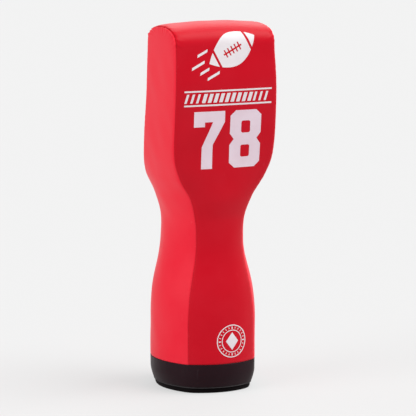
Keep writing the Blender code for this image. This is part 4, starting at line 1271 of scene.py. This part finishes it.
def make_tab(name, sign, up, end):
    """A sewn webbing end: flat on its patch, then rising and closing round the loop's end."""
    x = sign * HANDLE_X
    reach = np.linspace(0.042, 0.018, TAB_ROWS)
    flat, outs = surface.at(x, surface.back_run(end + up * reach), TAB_LIFT)
    foot = flat[-1] - swing_place(x, 0.0, 0.0)
    start_out, start_up = (float(np.dot(foot, v)) for v in (SWING_OUT, SWING_UP))
    t = np.linspace(0.0, 1.0, 14)[1:]
    mouth = up * (HALF_SPAN + 0.0003)
    rise = [swing_place(x, start_out * (1.0 - smoothstep(s)), start_up + (mouth - start_up) * s)
            for s in t]
    path = np.concatenate([flat, rise])
    outs = np.concatenate([outs, np.tile(np.array(SWING_OUT), (len(t), 1))])
    narrow = smoothstep((t - 0.1) / 0.9)
    widths, thick = (np.concatenate([np.full(TAB_ROWS, flat_size),
                                     between((flat_size, mouth_size), narrow)])
                     for flat_size, mouth_size in ((TAB_WIDTH, MOUTH_WIDTH),
                                                   (TAB_THICKNESS, MOUTH_THICKNESS)))
    widths[0] -= 0.0016
    obj = flat_strap(name + "_webbing", path, outs, widths, thick, WEBBING)
    hand_over(obj, name)
    box = []
    far, near = BOX_ENDS
    corners = [(-1, far), (1, far), (1, near), (-1, near), (-1, far)]
    lines = list(zip(corners, corners[1:])) + [(corners[0], corners[2]), (corners[1], corners[3])]
    for start, finish in lines:
        aside, reach = (between(pair, np.linspace(0.0, 1.0, 12)) for pair in zip(start, finish))
        run = surface.back_run(end + up * reach)
        line, out = surface.at(x + BOX_HALF * aside, run, TAB_LIFT + TAB_THICKNESS / 2.0)
        box += stitch_places(line, out, 0.0036)
    hand_over(scatter(name + "_stitches", make_stitch(THREAD, 0.0028), box))


def bow(up):
    """One half of a loop's line, from inside its tab's mouth into the grip: out, up."""
    start, inside = HALF_SPAN - 0.0018, (0.0056, 0.0020)
    flat, middle = GRIP_HALF + 0.004, 0.001
    t = np.linspace(0.0, 1.0, 26)
    out = np.concatenate([[0.0, 0.0], HANDLE_RISE * smoothstep(t), [HANDLE_RISE] * 6])
    along = np.concatenate([[start + inside[0], start + inside[1]], start + (flat - start) * t,
                            np.linspace(flat, middle, 7)[1:]])
    return out, up * along


def make_loop_half(name, sign, up, node_name):
    """Half of a webbing loop, which bends from its sewn end into the part that swings."""
    out, along = bow(up)
    x = sign * HANDLE_X
    path = np.array([swing_place(x, o, a) for o, a in zip(out, along)])
    outs = np.tile(np.array(SWING_OUT), (len(path), 1))
    obj = flat_strap(name, path, outs, WEB_WIDTH, WEB_THICKNESS, WEBBING)
    if up > 0:
        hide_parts(node_name)
    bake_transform(obj)


CLOTH_FRAMES = 20


def inflate(obj, voxel, limit, held):
    """Fill a sewn cover by a cloth simulation; held tells how firmly each point is sewn."""
    modify(obj, "REMESH", mode="VOXEL", voxel_size=voxel)
    start = points_of(obj)
    group = obj.vertex_groups.new(name="held")
    for index, weight in enumerate(held(start)):
        group.add([index], float(weight), "REPLACE")
    cloth = obj.modifiers.new("Cloth", "CLOTH")
    cloth.settings.use_pressure = True
    cloth.settings.uniform_pressure_force = 4.0
    cloth.settings.vertex_group_mass = "held"
    cloth.settings.effector_weights.gravity = 0.0
    scene = bpy.context.scene
    for number in range(1, CLOTH_FRAMES + 1):
        scene.frame_set(number)
    step = points_of(obj.evaluated_get(bpy.context.evaluated_depsgraph_get())) - start
    obj.modifiers.remove(cloth)
    far = np.linalg.norm(step, axis=1, keepdims=True)
    step *= np.minimum(1.0, limit / np.maximum(far, 1e-9))
    move_points(obj, start + step)
    scene.frame_set(1)
    modify(obj, "SUBSURF", levels=1, render_levels=1)


# Radius of a grip by share of its half length, from its middle to its end
GRIP_SHAPE = ((0.0, 0.0152), (0.5, 0.0151), (0.80, 0.0149), (0.90, 0.0142), (0.955, 0.0127),
              (0.985, 0.0098), (1.0, 0.0052))

# Its sewn seam, and the binding and creases near its ends: distance from the middle, width, depth
GRIP_SEAM = 0.0011
GRIP_BINDING = (0.0480, 0.0010, 0.0010)
GRIP_CREASES = (0.0520, 0.0035, 0.00035)


def make_grip(name, sign, body):
    """The padded grip: a stuffed vinyl sleeve, sewn along its inner side and at both ends."""
    x = sign * HANDLE_X
    centre = swing_place(x, HANDLE_RISE, 0.0)
    ups = np.linspace(-1.0, 1.0, 61)
    radii = np.interp(np.abs(ups), *np.array(GRIP_SHAPE).T)
    turn = turns(40)[:, None]
    out, up = np.array(SWING_OUT), np.array(SWING_UP)
    spokes = np.cos(turn) * [1.0, 0.0, 0.0] + np.sin(turn) * out
    rings = centre + up * (ups * GRIP_HALF)[:, None, None] + spokes * radii[:, None, None]
    obj = ring_piece(name + "_sleeve", rings, GRIP_VINYL)

    def local(points):
        flat = points - centre
        along = flat @ up
        return along, np.arctan2(flat @ out, flat[:, 0]), flat - along[:, None] * up

    def held(points):
        along, angle, _ = local(points)
        seam = bell(angle + math.pi / 2.0, 0.12)
        ends = smoothstep((np.abs(along) / GRIP_HALF - 0.86) / 0.08)
        return np.maximum(seam, ends)

    inflate(obj, 0.0024, 0.0016, held)
    points = points_of(obj)
    along, angle, spoke = local(points)
    radius = np.linalg.norm(spoke, axis=1)
    seam = bell((angle + math.pi / 2.0) * radius, GRIP_SEAM) * GRIP_SEAM
    bound, crease = (bell(np.abs(along) - place, width) * depth
                     for place, width, depth in (GRIP_BINDING, GRIP_CREASES))
    crease = crease * np.sin(angle * 11.0 + np.sign(along))
    inward = np.minimum(np.maximum(seam, bound), radius * 0.5) - crease
    for depth in (inward, np.maximum(radius - GRIP_RADIUS, 0.0)):
        points -= spoke / np.maximum(radius, 1e-6)[:, None] * depth[:, None]
    move_points(obj, points)
    smooth(obj)
    hand_over(obj, name, body)


def make_handle(side, sign):
    body = side + "_handle"
    for word, end, up in zip(("lower", "upper"), HANDLE_ENDS, (-1.0, 1.0)):
        start = "handle_%s_%s" % (side, word)
        middle = surface.back_run(end + up * PATCH_REACH)
        make_patch(start + "_patch", sign * HANDLE_X, float(middle))
        make_tab(start + "_tab", sign, up, end)
        make_loop_half(start + "_web", sign, up, "handle_%s_loop" % side)
    make_grip("handle_%s_grip" % side, sign, body)


# Zip

TOOTH_PITCH = 0.0072
TOOTH_SIZE = (0.0046, 0.0031, 0.0028)
TOOTH_WAIST = 0.0002
TOOTH_OVERLAP = 0.0009
TOOTH_FOOT = 0.0016
TEETH_END = 0.4824
TAPE_LEVEL = -0.0025
TAPE_RISE = 0.0005
TAPE_THICKNESS = 0.0009
TAPE_ACROSS = np.array([0.0, 0.0004, 0.0010, 0.0016, 0.0030, 0.0055, 0.0080, 0.0110])
TAPE_BEAD = (0.0002, 0.0005, 0.0006, 0.0004, 0.0, 0.0, 0.0, 0.0)
SLIDER_FOOT = 0.4624
SLIDER_LENGTH = 0.018
SWIVEL = (0.0026, 0.4714)
LYING_ACROSS = Matrix.Rotation(math.pi / 2.0, 4, "Y")


def make_tooth():
    """One zip tooth, pointing to +X: a waist on the tape and a broader, rounded head."""
    tooth = box_at("tooth", TOOTH_SIZE)

    def draw_waist():
        bpy.ops.mesh.bisect(plane_co=(TOOTH_WAIST, 0.0, 0.0), plane_no=(1.0, 0.0, 0.0))
        bpy.ops.mesh.select_all(action="DESELECT")
        work = bmesh.from_edit_mesh(tooth.data)
        for vertex in work.verts:
            vertex.select = abs(vertex.co.x - TOOTH_WAIST) < 1e-6
        work.select_flush(True)
        bmesh.update_edit_mesh(tooth.data)
        bpy.ops.transform.resize(value=(1.0, 0.74, 0.92), center_override=(0.0, 0.0, 0.0))

    edit(tooth, draw_waist,
         lambda: bpy.ops.mesh.bevel(offset=0.00045, segments=2, affect="EDGES"))
    paint(tooth, TEETH)
    return tooth


def zip_matrix(x, out, up, sign=1.0):
    """Placement on the zip: X across, Y up along it, Z outwards."""
    matrix = Matrix((Vector((-sign, 0.0, 0.0)), ZIP_UP, ZIP_OUT)).transposed().to_4x4()
    matrix.translation = zip_place(x, out, up)
    return matrix


def make_tape(side, sign):
    """A zip tape and its row of teeth."""
    inner = TOOTH_SIZE[0] - TOOTH_OVERLAP - TOOTH_FOOT
    ups = np.linspace(0.0, ZIP_LENGTH, 169)
    ripples = waves(ups, (0.05, 0.031), 41 if sign > 0 else 43) * 0.00012
    points = []
    for up, ripple in zip(ups, ripples):
        for across, bead in zip(TAPE_ACROSS, TAPE_BEAD):
            out = TAPE_LEVEL + TAPE_RISE + bead + ripple * min(across / 0.005, 1)
            points.append(zip_place(sign * (inner + across), out, up))
    points = np.array(points).reshape(len(ups), len(TAPE_ACROSS), 3)
    order = slice(None, None, -1 if sign > 0 else 1)
    name = "zip_tape_" + side
    obj = grid_piece(name + "_cloth", points[:, order], ZIP_CLOTH,
                     {"across": TAPE_ACROSS[order], "along": ups[:, None]})
    thicken(obj, TAPE_THICKNESS)
    smooth(obj)
    hand_over(obj, name)
    first = TOOTH_PITCH if sign > 0 else 1.5 * TOOTH_PITCH
    middle = sign * (TOOTH_SIZE[0] / 2.0 - TOOTH_OVERLAP)
    places = [zip_matrix(middle, TAPE_LEVEL, first + number * TOOTH_PITCH, sign)
              for number in range(int((TEETH_END - first) / TOOTH_PITCH))]
    teeth = scatter("zip_teeth_" + side, make_tooth(), places)
    edit(teeth, face_out)
    smooth(teeth, 35.0)
    hand_over(teeth)


def corner_edges(obj, offset, segments, test=lambda co: True):
    """Round the upright corner edges of a plate that lies in the XY plane, before placing."""
    def round_off():
        bpy.ops.mesh.select_mode(type="EDGE")
        bpy.ops.mesh.select_all(action="DESELECT")
        work = bmesh.from_edit_mesh(obj.data)
        for edge in work.edges:
            a, b = (v.co for v in edge.verts)
            upright = abs(a.z - b.z) > 1e-5 and (a.xy - b.xy).length < 1e-6
            edge.select = upright and test(a)
        work.select_flush_mode()
        bmesh.update_edit_mesh(obj.data)
        bpy.ops.mesh.bevel(offset=offset, segments=segments, affect="EDGES")
        bpy.ops.mesh.select_mode(type="VERT")

    edit(obj, round_off)


def place_piece(obj, matrix):
    settle(obj, matrix)
    edit(obj, face_out)


def zinc_piece(obj, matrix, edge, body, stands_for):
    """Place a cast or pressed piece, break its edges and hand it to its body."""
    place_piece(obj, matrix)
    modify(obj, "BEVEL", width=edge, segments=2, limit_method="ANGLE", use_clamp_overlap=True)
    paint(obj, ZINC)
    smooth(obj, 35.0)
    hand_over(obj, stands_for, body)


def make_slider():
    """The slider: a waisted plate with side flanges and a crown loop."""
    under, top, flange_foot = -0.0008, 0.0010, -0.0017
    level = (top + under) / 2.0
    half, wall = 0.0052, 0.0012
    plate = box_at("slider_casting", (2.0 * half, SLIDER_LENGTH, top - under))
    corner_edges(plate, 0.0034, 6, lambda co: co.y > 0)
    corner_edges(plate, 0.0018, 5, lambda co: co.y < 0)
    length, sunk, back = SLIDER_LENGTH - 0.0066, 0.0004, 0.0006
    for sign in (-1.0, 1.0):
        place = (sign * (half - wall / 2.0), -back, (flange_foot + under) / 2.0 - level)
        size = (wall, length, under - flange_foot + sunk)
        cut(plate, box_at("flange", size, Matrix.Translation(place)), "UNION")
    crown = primitive("crown", bpy.ops.mesh.primitive_torus_add, major_segments=36,
                      minor_segments=12, major_radius=0.0020, minor_radius=0.0007)
    stretch = Matrix.Diagonal((1.5, 1.55, 1.0, 1.0))
    settle(crown, Matrix.Translation((0.0, 0.0, SWIVEL[0] - level)) @ stretch @ LYING_ACROSS)
    cut(plate, crown, "UNION")
    dent = Matrix.Translation((0.0, -0.0066, top - level + 0.0004))
    cut(plate, rod_at("dent", 0.0011, 0.0016, dent, 20))
    zinc_piece(plate, zip_matrix(0.0, level, SLIDER_FOOT + SLIDER_LENGTH / 2.0), 0.00025,
               "slider", "zip_slider")


def make_pull():
    """The pull: a rounded plate with an eye and its bar at the top and a hole below."""
    length, width, thick, above_bar = 0.0348, 0.0090, 0.0016, 0.0008
    waist, hole_level, first_rib, rib_pitch = -0.02, -0.0292, -0.0145, 0.0026
    middle = Matrix.Translation((0.0, above_bar - length / 2.0, 0.0))
    plate = box_at("pull_plate", (width, length, thick), middle)
    corner_edges(plate, 0.0040, 8, lambda co: co.y < waist)
    corner_edges(plate, 0.0016, 4, lambda co: co.y > waist)
    eye = box_at("eye", (0.0034, 0.0074, 0.004), Matrix.Translation((0.0, -0.0025, 0.0)))
    corner_edges(eye, 0.0008, 4)
    cut(plate, eye)
    hole = Matrix.Translation((0.0, hole_level, 0.0))
    cut(plate, rod_at("hole", 0.0022, 0.004, hole, 28))
    for sign in (-1.0, 1.0):
        for step in range(3):
            place = Matrix.Translation((0.0, first_rib - rib_pitch * step, sign * 0.00105))
            cut(plate, rod_at("rib", 0.0005, 0.0050, place @ LYING_ACROSS, 14))
    cut(plate, rod_at("bar", 0.0007, width - 0.0012, LYING_ACROSS, 20), "UNION")
    zinc_piece(plate, zip_matrix(0.0, *SWIVEL), 0.0002, "pull", "zip_pull")


def make_stop(name, up):
    """A pressed metal stop across both tapes, with its crimp line."""
    size = (0.0084, 0.0050, 0.0018)
    stop = box_at(name + "_clip", size)
    corner_edges(stop, 0.0012, 4)
    crimp = Matrix.Translation((0.0, 0.0, 0.0010)) @ LYING_ACROSS
    cut(stop, rod_at("crimp", 0.0005, 0.012, crimp, 14))
    zinc_piece(stop, zip_matrix(0.0, size[2] / 2.0 - 0.0017, up + size[1] / 2.0), 0.0003,
               "dummy", name)


HEM_HALF = ZIP_SLOT + 0.0050
HEM_ENDS = (0.1500, 0.6708)
HEM_LIFT = 0.0010


def make_hem_stitches():
    """The row of stitches round the zip's opening, through the folded edge."""
    low, high = HEM_ENDS
    corners = [(-HEM_HALF, low), (HEM_HALF, low), (HEM_HALF, high), (-HEM_HALF, high)]
    places = []
    for start, end in zip(corners, corners[1:] + corners[:1]):
        across, level = (between(pair, np.linspace(0.0, 1.0, 60)) for pair in zip(start, end))
        places += stitch_places(*surface.at(across, surface.back_run(level), HEM_LIFT), 0.0044)
    stitches = scatter("zip_hem_stitches", make_stitch(RED_THREAD, 0.0034), places)
    hand_over(stitches)


# Breather vents

# Section of an eyelet: radius, level
EYELET = ((0.0040, -0.0040), (0.0040, 0.0012), (0.0042, 0.0019), (0.0047, 0.0023),
          (0.0054, 0.0024), (0.0066, 0.0023), (0.0082, 0.0019), (0.0091, 0.0013),
          (0.0095, 0.0008), (0.0095, 0.0004), (0.0091, 0.0002), (0.0052, 0.0002),
          (0.0046, -0.0002), (0.0046, -0.0040), (0.0040, -0.0040))


def make_eyelet(name, matrix):
    """A turned piece: a circle extruded and resized through its section."""
    obj = primitive(name + "_ring", bpy.ops.mesh.primitive_circle_add, vertices=48,
                    radius=EYELET[0][0], fill_type="NOTHING")
    settle(obj, Matrix.Translation((0.0, 0.0, EYELET[0][1])))

    def draw_section():
        for (radius, z), (next_radius, next_z) in zip(EYELET, EYELET[1:]):
            draw_rim(next_z - z, [next_radius / radius] * 2)

    edit(obj, draw_section, weld, face_out)
    place_piece(obj, matrix)
    paint(obj, BRASS)
    smooth(obj, 50.0)
    hand_over(obj, name)


# Prints on the front, by distance across and along the band

SEVEN = ((0.0, 1.0), (1.0, 1.0), (1.0, 0.81), (0.635, 0.42), (0.635, 0.0), (0.285, 0.0),
         (0.285, 0.385), (0.615, 0.815), (0.355, 0.815), (0.355, 0.735), (0.0, 0.735))
EIGHT = ((0.17, 1.0), (0.83, 1.0), (1.0, 0.91), (1.0, 0.60), (0.87, 0.50), (1.0, 0.40),
         (1.0, 0.09), (0.83, 0.0), (0.17, 0.0), (0.0, 0.09), (0.0, 0.40), (0.13, 0.50),
         (0.0, 0.60), (0.0, 0.91))
EIGHT_HOLES = (((0.355, 0.605), (0.645, 0.815)), ((0.355, 0.185), (0.645, 0.395)))
HOLE_CORNER = 0.007
NUMBER_LEVELS = (0.7330, 0.9480)
SEVEN_X = (-0.1315, -0.0090)
EIGHT_X = (0.0135, 0.1400)
PRINT_LIFT = 0.00022
PRINT_THICKNESS = 0.00022
PRINT_CELL = 0.007


def cut_cells(outlines):
    """In edit mode, cut flat shapes into small cells, so that they can lie on the front."""
    weld(1e-6)
    flat = np.array([point for outline in outlines for point in outline])
    for axis in range(2):
        low, high = flat[:, axis].min(), flat[:, axis].max()
        count = int((high - low) / PRINT_CELL)
        for number in range(1, count + 1):
            place = [0.0, 0.0, 0.0]
            place[axis] = low + (high - low) * number / (count + 1)
            normal = [float(k == axis) for k in range(3)]
            bpy.ops.mesh.select_all(action="SELECT")
            bpy.ops.mesh.bisect(plane_co=place, plane_no=normal)


def make_print(name, outlines, ink):
    """A motif of filled outlines, laid on the front."""
    data = bpy.data.curves.new(name, "CURVE")
    data.dimensions = "2D"
    data.fill_mode = "BOTH"
    for outline in outlines:
        line = data.splines.new("POLY")
        line.points.add(len(outline) - 1)
        for point, (x, y) in zip(line.points, outline):
            point.co = (x, y, 0.0, 1.0)
        line.use_cyclic_u = True
    select_only(put_in_scene(name, data))
    bpy.ops.object.convert(target="MESH")
    obj = bpy.context.object
    obj.name = name
    edit(obj, lambda: cut_cells(outlines))
    points = points_of(obj)
    move_points(obj, surface.at(points[:, 0], points[:, 1], PRINT_LIFT)[0])
    if np.mean([p.normal.y for p in obj.data.polygons]) > 0:
        edit(obj, bpy.ops.mesh.flip_normals)
    paint(obj, ink)
    thicken(obj, PRINT_THICKNESS, 1.0)
    smooth(obj, 40.0)
    hand_over(obj)


def boxed(outline, across, levels):
    """An outline given by shares of a box, at its size."""
    return [(between(across, u), between(levels, v)) for u, v in outline]


def soft_box(low, high, radius, steps=4):
    """A rectangle with rounded corners."""
    points = []
    for number, (sx, sy) in enumerate(((1, 1), (-1, 1), (-1, -1), (1, -1))):
        x = (high[0] if sx > 0 else low[0]) - sx * radius
        y = (high[1] if sy > 0 else low[1]) - sy * radius
        for step in range(steps + 1):
            turn = math.pi / 2.0 * (number + step / steps)
            points.append((x + radius * math.cos(turn), y + radius * math.sin(turn)))
    return points


def number_outlines():
    outlines = [boxed(SEVEN, SEVEN_X, NUMBER_LEVELS), boxed(EIGHT, EIGHT_X, NUMBER_LEVELS)]
    for corners in EIGHT_HOLES:
        low, high = boxed(corners, EIGHT_X, NUMBER_LEVELS)
        outlines.append(soft_box(low, high, HOLE_CORNER)[::-1])
    return outlines


def turned(points, middle, turn):
    """An outline about the origin, turned and moved to its place."""
    c, s = math.cos(turn), math.sin(turn)
    return [(middle[0] + x * c - y * s, middle[1] + x * s + y * c) for x, y in points]


def bar(left, right, bottom, top, lean=0.0):
    """A bar whose top is moved aside by its lean."""
    return [(left, bottom), (right, bottom), (right + lean, top), (left + lean, top)]


def football_outlines():
    """A football in flight: its pointed outline in three parts, lacing and speed bars."""
    half, tall = 0.106, 0.060
    middle, turn = (0.022, 1.170), math.radians(27.0)

    def lens(low, high):
        xs = np.linspace(low, high, 26)
        rise = tall * np.maximum(1.0 - np.abs(xs / half) ** 1.9, 0.0)
        upper = list(zip(xs, rise))
        return upper + [(x, -y) for x, y in upper[::-1] if y > 1e-4]

    outlines = [lens(-half, -0.075), lens(-0.066, 0.066), lens(0.075, half)]
    cord, tie, tie_half = 0.0030, 0.0150, 0.0026
    lace = [(-0.040, -cord)]
    for k in range(5):
        x = -0.030 + 0.015 * k
        lace += [(x - tie_half, -cord), (x - tie_half, -tie), (x + tie_half, -tie),
                 (x + tie_half, -cord)]
    lace.append((0.040, -cord))
    outlines.append(lace + [(-x, -y) for x, y in lace])
    thick, lean = 0.0045, 0.006
    for level, near, length in ((0.046, -0.086, 0.050), (0.0155, -0.116, 0.062),
                                (-0.0155, -0.112, 0.046), (-0.046, -0.082, 0.060)):
        outlines.append(bar(near - length, near - lean, level - thick, level + thick, lean))
    return [turned(outline, middle, turn) for outline in outlines]


def stripe_outlines():
    """A band of slanted bars between two rules."""
    left, right, low, high = -0.172, 0.180, 0.9680, 1.0260
    rule, gap, count, lean = 0.0060, 0.0065, 15, 0.010
    outlines = [bar(left, right, low, low + rule), bar(left, right, high - rule, high)]
    pitch = (right - left - lean) / count
    for k in range(count):
        x = left + pitch * k
        wide = pitch * (0.62 if 3 <= k < 12 else 0.40)
        outlines.append(bar(x, x + wide, low + rule + gap, high - rule - gap, lean))
    return outlines


def roundel_outlines():
    """Plain rings with ticks between them, and a small diamond in the middle."""
    middle, tick_end = (0.0255, 0.0842), 0.0545
    outlines = []
    for outer, inner in ((0.0615, 0.0580), (0.0425, 0.0395)):
        for radius, way in ((outer, 1), (inner, -1)):
            around_it = [2.0 * math.pi * k / 96 for k in range(96)][::way]
            outlines.append([(middle[0] + radius * math.cos(turn),
                              middle[1] + radius * math.sin(turn)) for turn in around_it])
    for k in range(24):
        start, wide = (0.0455, 0.0021) if k % 6 == 0 else (0.0475, 0.0012)
        tick = bar(start, tick_end, -wide, wide)
        outlines.append(turned(tick, middle, 2.0 * math.pi * k / 24))
    diamond = [(0.026, 0.0), (0.0, 0.033), (-0.026, 0.0), (0.0, -0.033)]
    outlines.append(turned(diamond, middle, 0.0))
    return outlines


# Making the pieces

make_front()
make_back()
make_side("cover_side_left", -1.0, "side_panel_left")
make_side("cover_side_right", 1.0, "side_panel_right")
make_boot()
make_welt()
make_sole()
make_foam("foam_base", 0.0060, 0.2995, "core_base_block")
make_foam("foam_waist", 0.3005, 0.7595, "core_waist_block")
make_foam("foam_chest", 0.7605, 1.3480, "core_chest_block", recess=True)
make_strike_pad()
make_tape("left", -1.0)
make_tape("right", 1.0)
make_slider()
make_pull()
make_stop("zip_bottom_stop", -0.001)
make_stop("zip_top_stop", TEETH_END + 0.004)
make_hem_stitches()
for number, vent in enumerate(VENTS, start=1):
    make_eyelet("vent_eyelet_%d" % number, vent_frame(*vent))
make_print("print_number", number_outlines(), PRINT_INK)
make_print("print_football", football_outlines(), WHITE_INK)
make_print("print_stripes", stripe_outlines(), WHITE_INK)
make_print("print_roundel", roundel_outlines(), WHITE_INK)
make_handle("left", -1.0)
make_handle("right", 1.0)

paint(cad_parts["ballast_disc"], BALLAST)
for number in range(1, len(VENTS) + 1):
    paint(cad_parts["vent_washer_%d" % number], BRASS)


# Floor, light and camera

BACKDROP = 0.8775
FLOOR_SEEN = 0.65
WORLD_LIGHT = 0.42


def seen_directly(nodes):
    """1 for rays from the eye, also by way of metal or glass; 0 for the light on the object."""
    path = nodes.add("LightPath")
    return nodes.plus(nodes.plus(path["Is Camera Ray"], path["Is Glossy Ray"]),
                      path["Is Transmission Ray"], clamp=True)


def make_floor():
    floor = primitive("floor", bpy.ops.mesh.primitive_plane_add, size=240.0)
    settle(floor, Matrix.Translation((0.0, 60.0, 0.0)))
    nodes = Material("floor", 0.0)
    nodes.feed((0.61, 0.61, 0.61), nodes.shader.inputs["Base Color"])
    nodes.feed(0.9, nodes.shader.inputs["Roughness"])
    pale = nodes.add("Emission", {"Color": (BACKDROP,) * 3})
    seen = nodes.times(seen_directly(nodes), FLOOR_SEEN)
    both = nodes.add("MixShader", {0: seen, 1: nodes.shader.outputs[0], 2: pale[0]})
    nodes.feed(both[0], nodes.tree.nodes["Material Output"].inputs["Surface"])
    paint(floor, nodes.material)


def make_world():
    world = bpy.data.worlds.new("studio")
    bpy.context.scene.world = world
    world.use_nodes = True
    nodes = Nodes(world.node_tree)
    color = nodes.mixed(seen_directly(nodes), (WORLD_LIGHT,) * 3, (BACKDROP,) * 3)
    nodes.feed(color, nodes.tree.nodes["Background"].inputs["Color"])


def add_sun(name, towards, level, degrees):
    """A broad soft light from a direction; level is its share of a plain white's light."""
    data = bpy.data.lights.new(name, "SUN")
    data.energy = math.pi * level
    data.angle = math.radians(degrees)
    lamp = put_in_scene(name, data)
    lamp.rotation_mode = "QUATERNION"
    lamp.rotation_quaternion = Vector(towards).to_track_quat("Z", "Y")


VIEW_TURN = math.radians(-25.0)
VIEW_RISE = math.radians(8.3)
VIEW_DISTANCE = 11.194
AIM = Vector((0.0, 0.0, 0.685))
AIM_RIGHT = 0.0216
AIM_DOWN = 0.0192
FOCAL = 259.6


def make_camera():
    back = Vector((math.sin(VIEW_TURN) * math.cos(VIEW_RISE),
                   -math.cos(VIEW_TURN) * math.cos(VIEW_RISE), math.sin(VIEW_RISE)))
    right = Vector((math.cos(VIEW_TURN), math.sin(VIEW_TURN), 0.0))
    up = back.cross(right)
    data = bpy.data.cameras.new("camera")
    data.lens = FOCAL
    data.sensor_width = 36.0
    data.clip_end = 400.0
    camera = put_in_scene("camera", data)
    aim = AIM + right * AIM_RIGHT - up * AIM_DOWN
    camera.location = aim + back * VIEW_DISTANCE
    camera.rotation_mode = "QUATERNION"
    camera.rotation_quaternion = (-back).to_track_quat("-Z", "Y")
    bpy.context.scene.camera = camera


make_floor()
make_world()
add_sun("key", (-0.86, -0.12, 0.50), 0.41, 40.0)
add_sun("top", (0.42, -0.28, 0.86), 0.85, 44.0)
add_sun("back", (0.42, 0.66, 0.60), 0.25, 40.0)
make_camera()
bpy.context.scene.view_settings.view_transform = "Standard"
